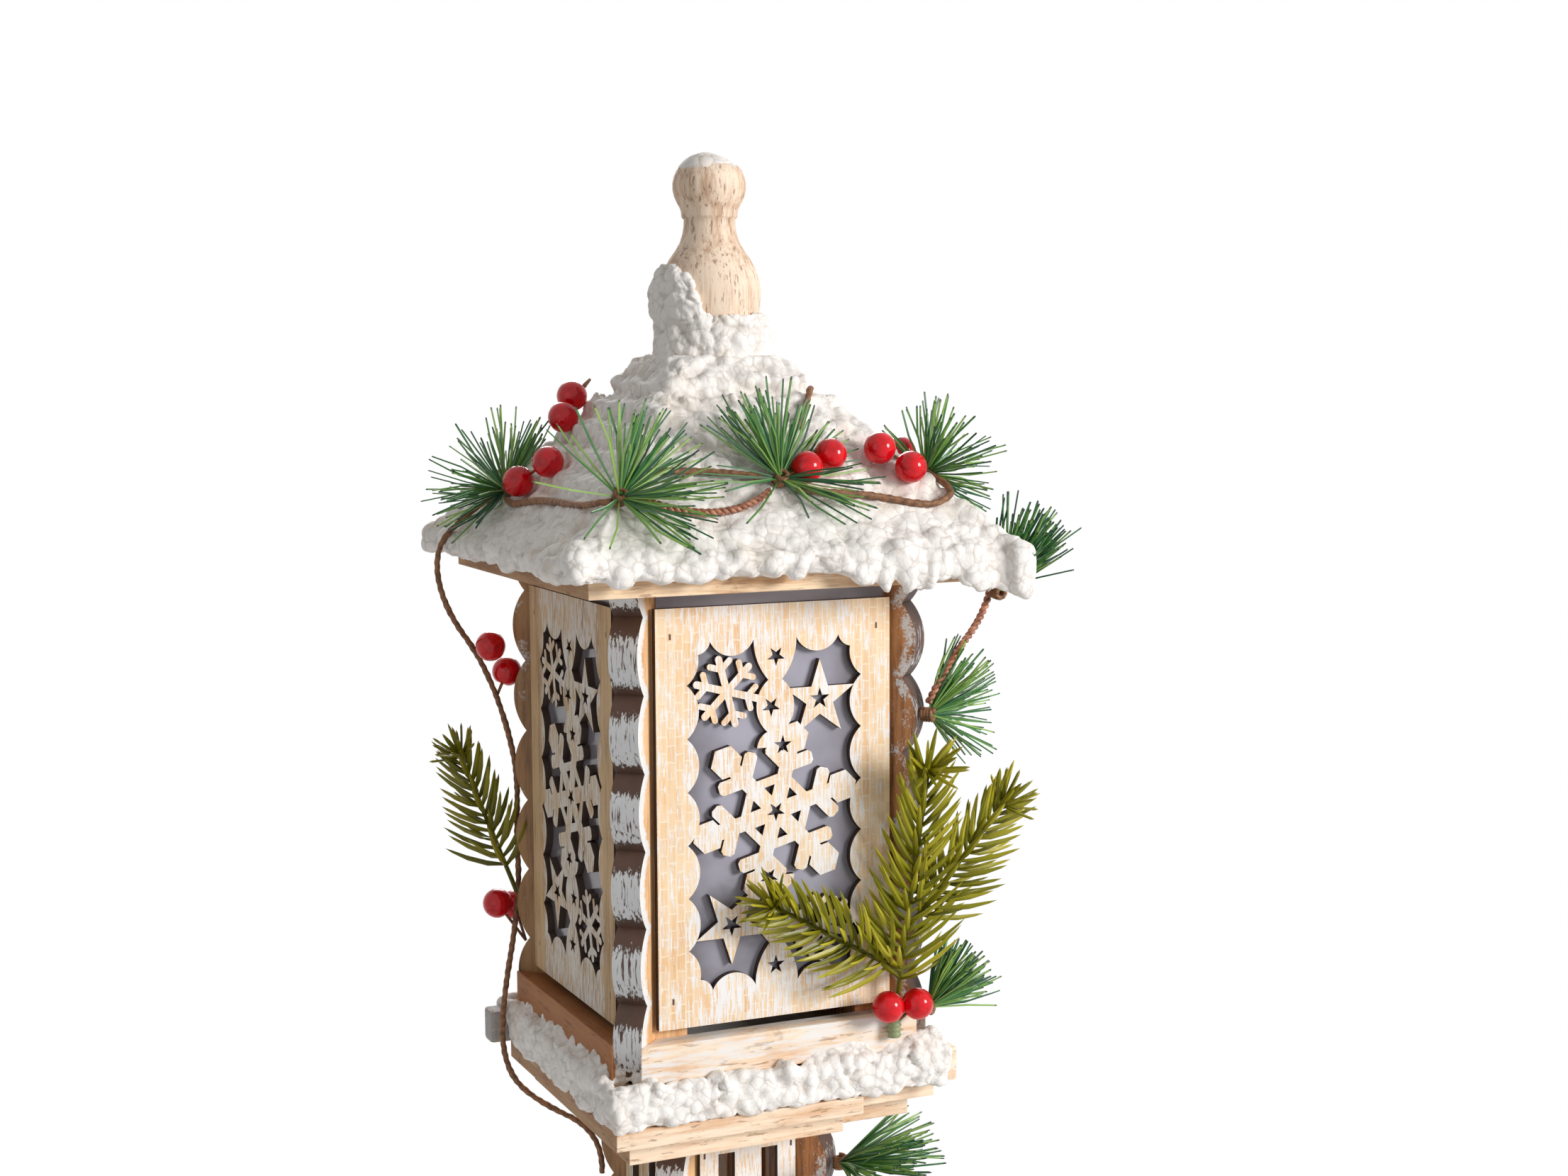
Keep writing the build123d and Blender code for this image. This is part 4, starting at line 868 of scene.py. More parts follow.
# plain fittings: brads, hinges, lamp
fittingRelief = (0.00005, 0.2)
fittingSet = {  # color, roughness, metallic, speck, its scale, transmission, nodes
    "rustySteel": (rgb(0.16, 0.09, 0.06), 0.55, 0.7, 0.5, 800.0, 0.0, ("brads",)),
    "hingeSteel": (
        rgb(0.55, 0.54, 0.52), 0.35, 1.0, 0.2, 500.0, 0.0, ("hinge_leaves_fixed", "hinge_leaves_door")),
    "lampPlastic": (rgb(0.82, 0.82, 0.80), 0.45, 0.0, 0.05, 300.0, 0.0, ("lamp_case", "battery_cover")),
    "switchPlastic": (grey(0.05), 0.4, 0.0, 0.3, 300.0, 0.0, ("switch_slider",)),
    "cellJacket": (rgb(0.20, 0.22, 0.25), 0.35, 0.6, 0.2, 300.0, 0.0, ("lamp_cells",)),
    "boardGreen": (rgb(0.06, 0.26, 0.12), 0.45, 0.0, 0.3, 300.0, 0.0, ("lamp_board",)),
    "domeFrosted": (rgb(0.90, 0.88, 0.82), 0.45, 0.0, 0.05, 200.0, 0.3, ("lamp_dome",)),
}


def makePlain(name, color, roughness, metallic, speck, scale, transmission=0.0):
    material = newMaterial(name)
    place, _ = whereOn(material)
    value = noiseValue(place, scale)
    darker = rgb(*(part * (1.0 - speck) for part in color[:3]))
    return finishUp(
        material, mixColor(value, darker, color), roughness, value, *fittingRelief,
        Metallic=metallic, Transmission_Weight=transmission,
    )


for finish, (*look, names) in fittingSet.items():
    fitting = makePlain(finish, *look)
    for name in names:
        dress(name, fitting)
print("panes and fittings dressed")


# snow paste
snowFinish = {
    "white": rgb(0.975, 0.93, 0.885),
    "cream": rgb(0.93, 0.82, 0.70),
    "grey": rgb(0.70, 0.65, 0.61),
    # the hollow and crease colours below are painted shade
    "hollow": rgb(0.44, 0.37, 0.30),
    "hollowShare": 0.28,
    "gapShadeShare": 0.15,
    "creaseShade": rgb(0.34, 0.26, 0.19),
    "creaseShadeShare": 0.27,
    "creaseWidth": 0.13,
    "thinNoise": (120.0, 2.0),
    "thins": (0.38, 0.62),
    "fineNoise": (900.0,),
    "dust": (0.6, 0.8),
    "dustShare": 0.3,
    "creamNoise": (34.0, 3.0),
    "creams": (0.55, 0.74),
    "creamShare": 0.8,
    "hollows": (0.34, 0.06),
    "gapShade": (0.52, 0.78),
    "bubbleScale": 185.0,
    "shakeScale": 90.0,
    "shake": (0.006, 0.006, 0.006),
    "fineHeight": 0.25,
    "relief": (0.0013, 0.75),
    "roughness": 0.72,
}


def makeSnow(settings):
    material = newMaterial("snowPaste")
    place, _ = whereOn(material)
    proud = toneOf(material)[0]
    fine = noiseValue(place, *settings["fineNoise"])
    dust = times(smoothStep(fine, *settings["dust"]), settings["dustShare"])
    cream = noiseMask(place, settings["creamNoise"], settings["creams"])
    color = mixColor(dust, settings["white"], settings["grey"])
    color = mixColor(times(cream, settings["creamShare"]), color, settings["cream"])
    # painted shade: hollows, the gaps between bubbles and the creases are darkened
    hollow = times(smoothStep(proud, *settings["hollows"]), settings["hollowShare"])
    color = mixColor(hollow, color, settings["hollow"])
    moved = shaken(place, settings["shakeScale"], settings["shake"])
    bubbles = {"Vector": moved, "Scale": settings["bubbleScale"]}
    cells, edges = (
        put(material.node_tree, "ShaderNodeTexVoronoi", bubbles, feature=feature).outputs["Distance"]
        for feature in ("F1", "DISTANCE_TO_EDGE")
    )
    gapShade = times(smoothStep(cells, *settings["gapShade"]), settings["gapShadeShare"])
    color = mixColor(gapShade, color, settings["hollow"])
    thin = times(noiseMask(place, settings["thinNoise"], settings["thins"]), settings["creaseShadeShare"])
    shadedCreases = times(smoothStep(edges, settings["creaseWidth"], 0.0), thin)
    color = mixColor(shadedCreases, color, settings["creaseShade"])
    domes = minus(1.0, calc("POWER", cells, 2.0))
    height = timesPlus(fine, settings["fineHeight"], domes)
    return finishUp(material, color, settings["roughness"], height, *settings["relief"])


snowPaste = makeSnow(snowFinish)
bubbleReach = 0.72  # a bubble's radius, in cells
roofSnowSet = {
    "voxel": 0.0014, "rounds": 3, "cornerRounds": 10, "cornerFrom": 0.088,
    "woodFoot": 0.097, "woodSlope": 0.909, "woodTop": 0.024, "skin": 0.004,
    "eaveDabs": 30, "eaveHalf": 0.099, "eaveOut": 0.1045, "eaveRadius": (0.0036, 0.0058),
    "eaveSink": (0.9, 1.15), "eaveRise": (0.0002, 0.0060),
    "hipDabs": 16, "hipFoot": (0.0985, 0.0025), "hipRun": (-0.049, 0.0505), "hipRadius": 0.0080,
    "hipThin": 0.0036, "hipThinRate": 1.6, "hipWander": 0.0006, "hipShift": 0.0008,
    "capDabs": 11, "capHalf": 0.040, "capOut": 0.0405, "capRise": 0.0682, "capWander": 0.001,
    "capRadius": (0.0028, 0.0044),
    "lipDrop": 0.0022, "lipPress": 0.75, "lowBand": 0.034,
    "bigSize": 0.0105, "bigHeight": 0.0042,
    "middleSize": 0.0062, "middleHeight": 0.0027,
    "smallSize": 0.0034, "smallHeight": 0.0004,
    "middleShift": (0.3, 0.1, 0.7), "smallShift": (0.5, 0.9, 0.2), "middleLoss": 0.25,
    "wander": 0.0016, "wanderSize": 0.02, "sink": 0.0022, "fullTone": 0.0062, "hiddenTone": 0.6,
    "skinFrom": 0.2, "lowFrom": 1.15,
    "strokePitch": 0.0105, "strokeHeight": 0.00144, "strokeWander": 2.5, "strokeSize": 0.03,
    "slopeEdge": 0.9, "slopeShare": 0.45,
    "hangFrom": 0.003, "hangBand": 0.005,
    "dripDrop": 0.018, "dripFrom": 0.016, "dripBand": 0.03, "dripEdge": 0.088,
    "sideDripFrom": 0.03, "sideDripBand": 0.04, "sideDripEdge": 0.09,
    "ragged": (0.55, 0.45), "raggedPitch": 0.0052, "raggedSize": 0.012,
}
pasteSet = {  # what the ledge's, the knob's and the foot's snow share
    "smallShift": (0.3, 0.1, 0.7), "wanderSize": 0.018,
    "skirt": 0.0, "skirtBand": 0.008, "skirtOut": 0.5, "skirtShares": (0.6, 0.8), "skirtSize": 0.009,
}
ledgeSnowSet = {
    **pasteSet,
    "voxel": 0.0012, "rounds": 9, "bigSize": 0.0064, "bigHeight": 0.0024, "smallSize": 0.0034,
    "smallHeight": 0.0008, "wander": 0.0016, "sink": 0.0015,
    "cornerDabs": (((0.0125, 0.0240, -0.0010), 0.0068), ((0.0210, 0.0150, -0.0020), 0.0052)),
    "leftDabs": 24, "leftRadius": (0.0042, 0.0062), "leftStart": 0.034, "leftEnds": 0.056,
    "leftIn": 0.0120, "leftDrop": 0.0015,
    "frontDabs": 12, "frontRadius": (0.0040, 0.0058), "frontEnd": 0.008, "frontRun": 0.062,
    "frontIn": 0.0110, "frontDrop": 0.0010, "frontThin": 0.35, "shift": 0.0012,
}
finialSnowSet = {
    **pasteSet,
    "voxel": 0.0010, "rounds": 14, "bigSize": 0.0066, "bigHeight": 0.0022, "smallSize": 0.0032,
    "smallHeight": 0.0008, "wander": 0.0026, "sink": 0.0009, "skirt": 0.0042,
    "capTop": knobTop - 0.004, "capSpread": 1.75, "capPress": 0.4, "capWidest": 0.0142,
    "capWander": 0.3, "capWanderSize": 0.007, "capDrop": 0.0065, "capEdge": 0.0146, "capCurve": 2.6,
    "capSink": 0.0006,
    "tongueFrom": knobFoot + 0.026, "tongueTurn": math.radians(176), "tongueHalf": math.radians(61),
    "tongueDrop": 0.007, "tongueGrow": 0.012, "tongueTaper": 0.16, "taperLength": 0.03,
    "tongueSway": 0.16, "swayShift": 3.1, "swaySize": 0.011, "swayBack": 0.6,
}
baseSnowSet = {
    **pasteSet,
    "voxel": 0.0024, "rounds": 2, "bigSize": 0.014, "bigHeight": 0.0034, "smallSize": 0.006,
    "smallHeight": 0.0016, "wander": 0.002, "sink": 0.0024,
}


def bubble(point, settings, kind):
    # height of the round bubble that the point is in
    shifted = point + Vector(settings.get(kind + "Shift", (0, 0, 0)))
    distance = noise.voronoi(shifted / settings[kind + "Size"])[0][0]
    return settings[kind + "Height"] * math.sqrt(max(0.0, 1.0 - (distance / bubbleReach) ** 2))


def remeshed(name, settings, dabs=()):
    # a node's mesh with dabs of paste added, as one even skin
    mesh = nodes[name].data.copy()
    work = bmesh.new()
    work.from_mesh(mesh)
    bmesh.ops.remove_doubles(work, verts=work.verts, dist=weldGap)
    for place, radius in dabs:
        bmesh.ops.create_icosphere(work, subdivisions=2, radius=radius, matrix=Matrix.Translation(place))
    work.to_mesh(mesh)
    work.free()
    lump = addObject("pasteLump", mesh)
    modifier = lump.modifiers.new("remesh", "REMESH")
    modifier.mode = "VOXEL"
    modifier.voxel_size = settings["voxel"]
    skin = meshOf(lump)
    skin.name = name + "_paste"
    bpy.data.meshes.remove(mesh)
    work = bmesh.new()
    work.from_mesh(skin)
    edge = settings.get("cornerFrom", 1.0)
    corners = [vertex for vertex in work.verts if min(abs(vertex.co.x), abs(vertex.co.y)) > edge]
    for step in range(settings["rounds"] + settings.get("cornerRounds", 0)):
        chosen = work.verts if step < settings["rounds"] else corners
        bmesh.ops.smooth_vert(
            work, verts=chosen, factor=0.5, use_axis_x=True, use_axis_y=True, use_axis_z=True,
        )
    work.to_mesh(skin)
    work.free()
    return skin


def pastePiece(name, mesh, moves, tones):
    for vertex, move in zip(mesh.vertices, moves):
        vertex.co = vertex.co + move
    # the tone, how proud the paste stands, sets the painted shade in its hollows
    paintTone(mesh, [(tone, 0.0) for tone in tones])
    return addPiece(name + "_paste", mesh, snowPaste, name)


def roofDabs(settings):
    # rolls of paste along the eaves, the hips and the foot of the cap
    chance = random.Random("roof dabs")
    dabs = []
    for side in range(4):
        turn = Matrix.Rotation(math.pi / 2 * side, 3, "Z")

        def add(across, out, rise, radius):
            dabs.append((turn @ Vector((across, -out, roofFoot + rise)), radius))

        for step in range(settings["eaveDabs"]):
            along = (step + 0.5) / settings["eaveDabs"] * 2 - 1
            radius = chance.uniform(*settings["eaveRadius"])
            out = settings["eaveOut"] - radius * chance.uniform(*settings["eaveSink"])
            add(along * settings["eaveHalf"], out, chance.uniform(*settings["eaveRise"]), radius)
        for step in range(settings["hipDabs"]):
            share = step / (settings["hipDabs"] - 1)
            corner, rise = (foot + run * share for foot, run in zip(settings["hipFoot"], settings["hipRun"]))
            radius = settings["hipRadius"] - settings["hipThin"] * clamp(share * settings["hipThinRate"])
            radius += wander(chance, settings["hipWander"])
            corner += wander(chance, settings["hipShift"])
            add(corner, corner, rise, radius)
        for step in range(settings["capDabs"]):
            along = (step + 0.5) / settings["capDabs"] * 2 - 1
            radius = chance.uniform(*settings["capRadius"])
            rise = settings["capRise"] + wander(chance, settings["capWander"])
            add(along * settings["capHalf"], settings["capOut"], rise, radius)
    return dabs


def makeRoofSnow(settings):
    mesh = remeshed("roof_snow", settings, roofDabs(settings))
    lip = roofFoot - settings["lipDrop"]
    for vertex in mesh.vertices:
        if vertex.co.z < lip:
            vertex.co.z += (lip - vertex.co.z) * settings["lipPress"]
    mesh.update()
    moves, tones = [], []
    for vertex in mesh.vertices:
        point = vertex.co
        rise = point.z - roofFoot
        half = max(abs(point.x), abs(point.y))
        wood = max(settings["woodFoot"] - settings["woodSlope"] * max(rise, 0.0), settings["woodTop"])
        share = clamp((half - wood) / settings["skin"] + settings["skinFrom"])
        low = clamp(settings["lowFrom"] - rise / settings["lowBand"])
        big, middle, small = (bubble(point, settings, kind) for kind in ("big", "middle", "small"))
        lump = max(big * low, middle * (1.0 - settings["middleLoss"] * low)) + small
        lump += settings["wander"] * noise.noise(point / settings["wanderSize"])
        # brush strokes, stronger on the left slope
        onSlope = 1.0 if point.x < -abs(point.y) * settings["slopeEdge"] else settings["slopeShare"]
        sway = settings["strokeWander"] * noise.noise(point / settings["strokeSize"])
        stroke = math.sin(rise / settings["strokePitch"] * 2 * math.pi + sway)
        lump += settings["strokeHeight"] * stroke * (1.0 - low) * onSlope
        move = vertex.normal * (share * (lump - settings["sink"]))
        # the paste hangs over the eave at the front right corner
        hang = clamp((settings["hangFrom"] - rise) / settings["hangBand"])
        near = 0.0
        if point.y < -settings["dripEdge"]:
            near = clamp((point.x - settings["dripFrom"]) / settings["dripBand"])
        if point.x > settings["sideDripEdge"]:
            near = max(near, clamp((-settings["sideDripFrom"] - point.y) / settings["sideDripBand"]))
        mean, swing = settings["ragged"]
        wave = math.sin((point.x - point.y) / settings["raggedPitch"])
        ragged = mean + swing * wave * noise.noise(point / settings["raggedSize"])
        move.z -= settings["dripDrop"] * hang * near * ragged * share
        moves.append(move)
        tones.append(clamp(lump / settings["fullTone"]) if share > 0.5 else settings["hiddenTone"])
    pastePiece("roof_snow", mesh, moves, tones)


def ledgeDabs(settings):
    # an upper roll against the left rail and at the front's right end, with dabs at the front left corner
    chance = random.Random("ledge dabs")
    low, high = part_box("ledge_snow")
    corner = Vector((low.x, low.y, high.z))
    dabs = [(corner + Vector(place), radius) for place, radius in settings["cornerDabs"]]
    run = high.y - low.y - settings["leftEnds"]
    for step in range(settings["leftDabs"]):
        along = low.y + settings["leftStart"] + run * step / (settings["leftDabs"] - 1)
        radius = chance.uniform(*settings["leftRadius"])
        out = low.x + settings["leftIn"] + wander(chance, settings["shift"])
        dabs.append((Vector((out, along, high.z - settings["leftDrop"])), radius))
    for step in range(settings["frontDabs"]):
        share = step / (settings["frontDabs"] - 1)
        along = high.x - settings["frontEnd"] - settings["frontRun"] * share
        radius = chance.uniform(*settings["frontRadius"]) * (1.0 - settings["frontThin"] * share)
        out = low.y + settings["frontIn"] + wander(chance, settings["shift"])
        dabs.append((Vector((along, out, high.z - settings["frontDrop"])), radius))
    return dabs


def makePaste(name, settings, dabs=()):
    mesh = remeshed(name, settings, dabs)
    moves, tones = [], []
    foot = min(vertex.co.z for vertex in mesh.vertices)
    for vertex in mesh.vertices:
        point = vertex.co
        lump = bubble(point, settings, "big") + bubble(point, settings, "small")
        lump += settings["wander"] * noise.noise(point / settings["wanderSize"])
        low = clamp(1.0 - (point.z - foot) / settings["skirtBand"])
        spread = Vector((point.x, point.y, 0.0)).normalized() * settings["skirtOut"] - Vector((0, 0, 1))
        mean, swing = settings["skirtShares"]
        skirt = settings["skirt"] * low * (mean + swing * abs(noise.noise(point / settings["skirtSize"])))
        moves.append(vertex.normal * (lump - settings["sink"]) + spread * skirt)
        tones.append(clamp(lump / (settings["bigHeight"] + settings["smallHeight"])))
    return pastePiece(name, mesh, moves, tones)


def shapeTongue(mesh, settings):
    # rounds off the paste on the knob's belly and spreads the dab on its top
    foot = settings["tongueFrom"]
    for vertex in mesh.vertices:
        point = vertex.co
        radius = math.hypot(point.x, point.y)
        angle = math.atan2(point.y, point.x)
        if point.z > settings["capTop"]:
            rise = max(point.z - knobTop, 0.0)
            ragged = 1.0 + settings["capWander"] * noise.noise(point / settings["capWanderSize"])
            radius = min(radius * settings["capSpread"] * ragged, settings["capWidest"])
            drop = settings["capDrop"] * (radius / settings["capEdge"]) ** settings["capCurve"]
            sink = settings["capSink"]
            level = knobTop - drop - sink + (rise + sink) * settings["capPress"]
        elif point.z > foot:
            aside = (angle - settings["tongueTurn"] + math.pi) % (2 * math.pi) - math.pi
            share = min(abs(aside) / settings["tongueHalf"], 1.0)
            rise = point.z - foot
            grown = min(rise / settings["tongueGrow"], 1.0)
            drift = noise.noise(Vector((settings["swayShift"], 0.0, point.z / settings["swaySize"])))
            sway = grown * settings["tongueSway"] * drift
            taper = 1.0 - grown * settings["tongueTaper"] * rise / settings["taperLength"]
            angle = settings["tongueTurn"] + aside * taper + sway * (1 if aside > 0 else settings["swayBack"])
            level = point.z - settings["tongueDrop"] * share ** 2 * grown
        else:
            continue
        vertex.co = Vector((radius * math.cos(angle), radius * math.sin(angle), level))


makeRoofSnow(roofSnowSet)
makePaste("ledge_snow", ledgeSnowSet, ledgeDabs(ledgeSnowSet))
finialPaste = makePaste("finial_snow", finialSnowSet)
shapeTongue(finialPaste.data, finialSnowSet)
makePaste("base_snow", baseSnowSet)
print("snow made")


# garland: places on the roof's snow and on the scalloped boards, in millimetres as in the part's source
garlandSet = {
    "snowProfile": (
        (-3.0, 96.0), (4.0, 103.5), (17.0, 90.5), (29.0, 78.5), (41.5, 66.0), (54.0, 55.0), (64.5, 46.5),
        (68.5, 42.0), (71.5, 36.0), (80.0, 34.0), (84.0, 29.0), (88.0, 25.0),
    ),
    "sideTurn": {"front": 0, "right": 90, "rear": 180, "left": 270},
    "cornerTurn": {"rear_right": 0, "rear_left": 90, "front_left": 180, "front_right": 270},
    "lobePitch": 33.0,
    "lobeDepth": 6.3,
    "lobeRadius": 24.76,
    "twineRadius": 1.6,
    "ropeRadius": 2.4,
    "berryRadius": 7.0,
    "stemRadius": 1.5,
    "seatGap": 0.3,
    "knotLift": 3.8,
    "eaveOut": 103.5,
}
lobePitch, knotLift, eaveOut = (garlandSet[key] for key in ("lobePitch", "knotLift", "eaveOut"))
twineLift, ropeLift, berryLift, stemLift = (
    garlandSet[key + "Radius"] + garlandSet["seatGap"] for key in ("twine", "rope", "berry", "stem")
)
lanternFoot = floorTop * 1000
roofLevel = roofFoot * 1000
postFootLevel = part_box("post_corner_front_left")[0].z * 1000
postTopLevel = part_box("post_panel_front")[1].z * 1000
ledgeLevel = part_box("ledge_battens")[0].z * 1000
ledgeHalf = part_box("ledge_battens")[1].y * 1000
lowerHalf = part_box("lower_frame")[1].x * 1000
crest = lobePitch / 2
postCrest = crest + lobePitch * (math.floor((postTopLevel - postFootLevel) / lobePitch) - 1)


def turnedPoint(point, degrees):
    return Matrix.Rotation(math.radians(degrees), 3, "Z") @ Vector(point)


def snowHalf(height):
    profile = garlandSet["snowProfile"]
    for low, high in zip(profile, profile[1:]):
        if low[0] <= height <= high[0]:
            return low[1] + (height - low[0]) / (high[0] - low[0]) * (high[1] - low[1])
    return profile[-1][1]


def onSnow(side, along, height, lift):
    out = snowHalf(height)
    run = out - snowHalf(height + 1.0)
    length = math.hypot(1.0, run)
    point = (along, -out - lift / length, roofLevel + height + lift * run / length)
    return turnedPoint(point, garlandSet["sideTurn"][side])


def overSnow(side, places, lift=twineLift):
    return [onSnow(side, along, height, lift) for along, height in places]


def overHip(side, height, out):
    corner = snowHalf(height) + out
    return [turnedPoint((corner, -corner, roofLevel + height + out), garlandSet["sideTurn"][side])]


def snowNormal(side):
    # taken half way up the slope
    run = snowHalf(29.0) - snowHalf(30.0)
    return turnedPoint(Vector((0, -1, run)).normalized(), garlandSet["sideTurn"][side])


def onFin(corner, foot, cusp, rise, gap, aside=0.0):
    offset = rise % lobePitch - crest
    radius = garlandSet["lobeRadius"]
    bulge = math.sqrt(radius ** 2 - offset ** 2) - radius + garlandSet["lobeDepth"]
    reach = cusp + bulge + gap
    point = ((reach - aside) / math.sqrt(2), (reach + aside) / math.sqrt(2), foot + rise)
    return turnedPoint(point, garlandSet["cornerTurn"][corner])


def lanternFin(corner, rise, gap, aside=0.0):
    return onFin(corner, lanternFoot, boardSet["lanternCusp"] * 1000, rise, gap, aside)


def postFin(corner, rise, gap):
    return onFin(corner, postFootLevel, boardSet["postCusp"] * 1000, rise, gap)


def runAlong(points, step):
    # points at even steps along an open spline through the route, in metres
    data = bpy.data.curves.new("route", "CURVE")
    data.dimensions = "3D"
    data.resolution_u = 24
    spline = data.splines.new("NURBS")
    spline.points.add(len(points) - 1)
    for slot, point in zip(spline.points, points):
        slot.co = (*(Vector(point) / 1000), 1.0)
    spline.order_u = 3
    spline.use_endpoint_u = True
    mesh = meshOf(addObject("route", data))
    found = [vertex.co.copy() for vertex in mesh.vertices]
    bpy.data.meshes.remove(mesh)
    even = [found[0].copy()]
    place = step
    for start, end in zip(found, found[1:]):
        length = (end - start).length
        while place <= length:
            even.append(start.lerp(end, place / length))
            place += step
        place -= length
    return even


def framesAlong(points):
    # a steady pair of cross directions at each point
    frames = []
    side = None
    for index, point in enumerate(points):
        ahead = points[min(index + 1, len(points) - 1)] - points[max(index - 1, 0)]
        ahead.normalize()
        if side is None:
            side = ahead.orthogonal().normalized()
        side = (side - ahead * side.dot(ahead)).normalized()
        frames.append((point, side, ahead.cross(side)))
    return frames


def addTube(vertices, faces, points, radiusAt, sides):
    # rings of vertices round the points, closed at both ends
    first = len(vertices)
    for index, (point, side, up) in enumerate(framesAlong(points)):
        for step in range(sides):
            angle = 2 * math.pi * step / sides
            radius = radiusAt(index, angle) if callable(radiusAt) else radiusAt
            vertices.append(point + side * (radius * math.cos(angle)) + up * (radius * math.sin(angle)))
    faces.extend(ringFaces(first, len(points), sides))
    faces.append(tuple(first + step for step in reversed(range(sides))))
    faces.append(tuple(range(len(vertices) - sides, len(vertices))))


# paper-wrapped wire and twisted rope
strandSet = {
    "twinePaper": {"light": rgb(0.36, 0.17, 0.075), "dark": rgb(0.12, 0.05, 0.022), "roughness": 0.62},
    "copperStrand": {"light": rgb(0.62, 0.27, 0.16), "dark": rgb(0.24, 0.085, 0.045), "roughness": 0.42},
}
fibreSet = {
    "fineNoise": (2200.0, 3.0), "patchNoise": (330.0,), "shares": (0.7, 0.3),  # of patches and the fine noise
    "tones": (0.36, 0.64), "relief": (0.0002, 0.5),
}
wireSet = {
    "step": 0.0009, "radius": 1.5, "hangingRadius": 1.35, "wrap": 0.0042, "ridge": 0.10, "knobs": 0.16,
    "knobSize": 0.006, "sides": 9,
}
ropeSet = {"step": 0.7, "strandRadius": 0.95, "offset": 0.85, "pitch": 6.0, "sides": 8}


def makeStrand(name, settings, fibres):
    material = newMaterial(name)
    place, _ = whereOn(material)
    fine = noiseValue(place, *fibres["fineNoise"])
    tone = blend(noiseValue(place, *fibres["patchNoise"]), fine, fibres["shares"])
    color = mixColor(smoothStep(tone, *fibres["tones"]), settings["dark"], settings["light"])
    return finishUp(material, color, settings["roughness"], fine, *fibres["relief"])


def wrappedWire(name, routes, node, settings, radius):
    vertices, faces = [], []
    for route in routes:
        points = runAlong(route, settings["step"])

        def radiusAt(index, angle):
            ridge = math.sin(2 * math.pi * index * settings["step"] / settings["wrap"] + angle)
            knobs = noise.noise(points[index] / settings["knobSize"])
            return radius / 1000 * (1.0 + settings["ridge"] * ridge + settings["knobs"] * knobs)

        addTube(vertices, faces, points, radiusAt, settings["sides"])
    return meshPiece(name, vertices, faces, twinePaper, node)


def twistedRope(name, route, node, settings):
    vertices, faces = [], []
    frames = framesAlong(runAlong(route, settings["step"] / 1000))
    for strand in range(2):
        moved = []
        for index, (point, side, up) in enumerate(frames):
            angle = 2 * math.pi * (index * settings["step"] / settings["pitch"] + strand / 2)
            moved.append(point + circlePoint(side, up, angle) * (settings["offset"] / 1000))
        addTube(vertices, faces, moved, settings["strandRadius"] / 1000, settings["sides"])
    return meshPiece(name, vertices, faces, copperStrand, node)


def hangCord(route, step):
    points = runAlong(route, step)


twinePaper, copperStrand = (makeStrand(name, look, fibreSet) for name, look in strandSet.items())
frontLength = overSnow("front", ((-71.5, 33.5), (-66.7, 38.6), (-45.8, 39.1), (-21.7, 37.6), (-6.9, 35.4)))
loopLength = overSnow("front", ((5.5, 30.0), (21.7, 28.5), (42.6, 26.7), (59.4, 22.8), (70.0, 22.5)))
loopLength += overHip("front", 28.0, 2.2) + overSnow("right", ((-66.0, 36.0),))
backLength = overSnow("right", ((-52.0, 30.5), (-30.0, 32.5), (20.0, 33.0), (50.0, 30.5)))
backLength += overHip("right", 30.0, 4.0)
backLength += overSnow("rear", ((-55.0, 31.0), (-22.0, 33.0), (18.0, 31.5), (50.0, 31.0)))
backLength += overHip("rear", 31.0, 4.0) + overSnow("left", ((-58.0, 30.0), (-47.5, 28.3)))
leftLength = overSnow(
    "left", ((-31.5, 22.6), (-19.0, 20.8), (3.5, 24.5), (34.7, 25.0), (60.0, 25.1), (72.0, 26.3)))
leftLength += overHip("left", 27.0, 2.2) + overSnow("front", ((-77.5, 27.6),))
stubLength = overSnow("front", ((17.3, 55.2), (25.0, 64.5)), twineLift + 0.7)
stubLength += overSnow("front", ((31.0, 71.0),), twineLift + 1.6)
roofRoutes = [frontLength, loopLength, backLength, leftLength, stubLength]
wrappedWire("roofTwine", roofRoutes, "roof_twine", wireSet, wireSet["radius"])

hangLow = lanternFin("rear_left", 3 * lobePitch + crest, twineLift)
hangHigh = hangLow + Vector((-14.0, 0.0, 46.0))
leftRoute = overSnow("left", ((-44.8, 23.0), (-57.0, 22.0), (-64.5, 16.5))) + [
    Vector((-eaveOut - 8.0, 64.0, roofLevel + 2.0)),
    Vector((-eaveOut - 4.0, 66.0, roofLevel - 26.0)),
    hangHigh,
    hangLow,
    lanternFin("rear_left", 2 * lobePitch + crest, twineLift + 1.4),
    lanternFin("rear_left", lobePitch + crest, twineLift + 0.2),
    Vector((-ledgeHalf - 9.5, ledgeHalf - 19.0, ledgeLevel + 15.6)),
    Vector((-ledgeHalf - 7.0, ledgeHalf - 18.0, ledgeLevel - 11.0)),
    Vector((-lowerHalf - 0.8, lowerHalf - 9.0, postTopLevel - 10.0)),
    postFin("rear_left", postCrest, twineLift),
    postFin("rear_left", postCrest, twineLift + 1.0) - Vector((0, 0, 20.0)),
]
rightLobe = 4 * lobePitch + crest
rightRoute = [
    onSnow("right", -62.0, 21.0, ropeLift),
    Vector((eaveOut + 8.0, -62.5, roofLevel + 2.0)),
    Vector((eaveOut + 4.0, -63.0, roofLevel - 26.0)),
    lanternFin("front_right", rightLobe, 12.0) + Vector((0, 0, 22.0)),
    lanternFin("front_right", rightLobe, knotLift) + Vector((0, 0, 5.0)),
]
ropePlaces = (
    (-67.0, 28.2), (-62.0, 26.8), (-52.4, 23.4), (-37.7, 21.4), (-23.1, 22.8), (-11.0, 27.0), (-6.6, 29.6),
)
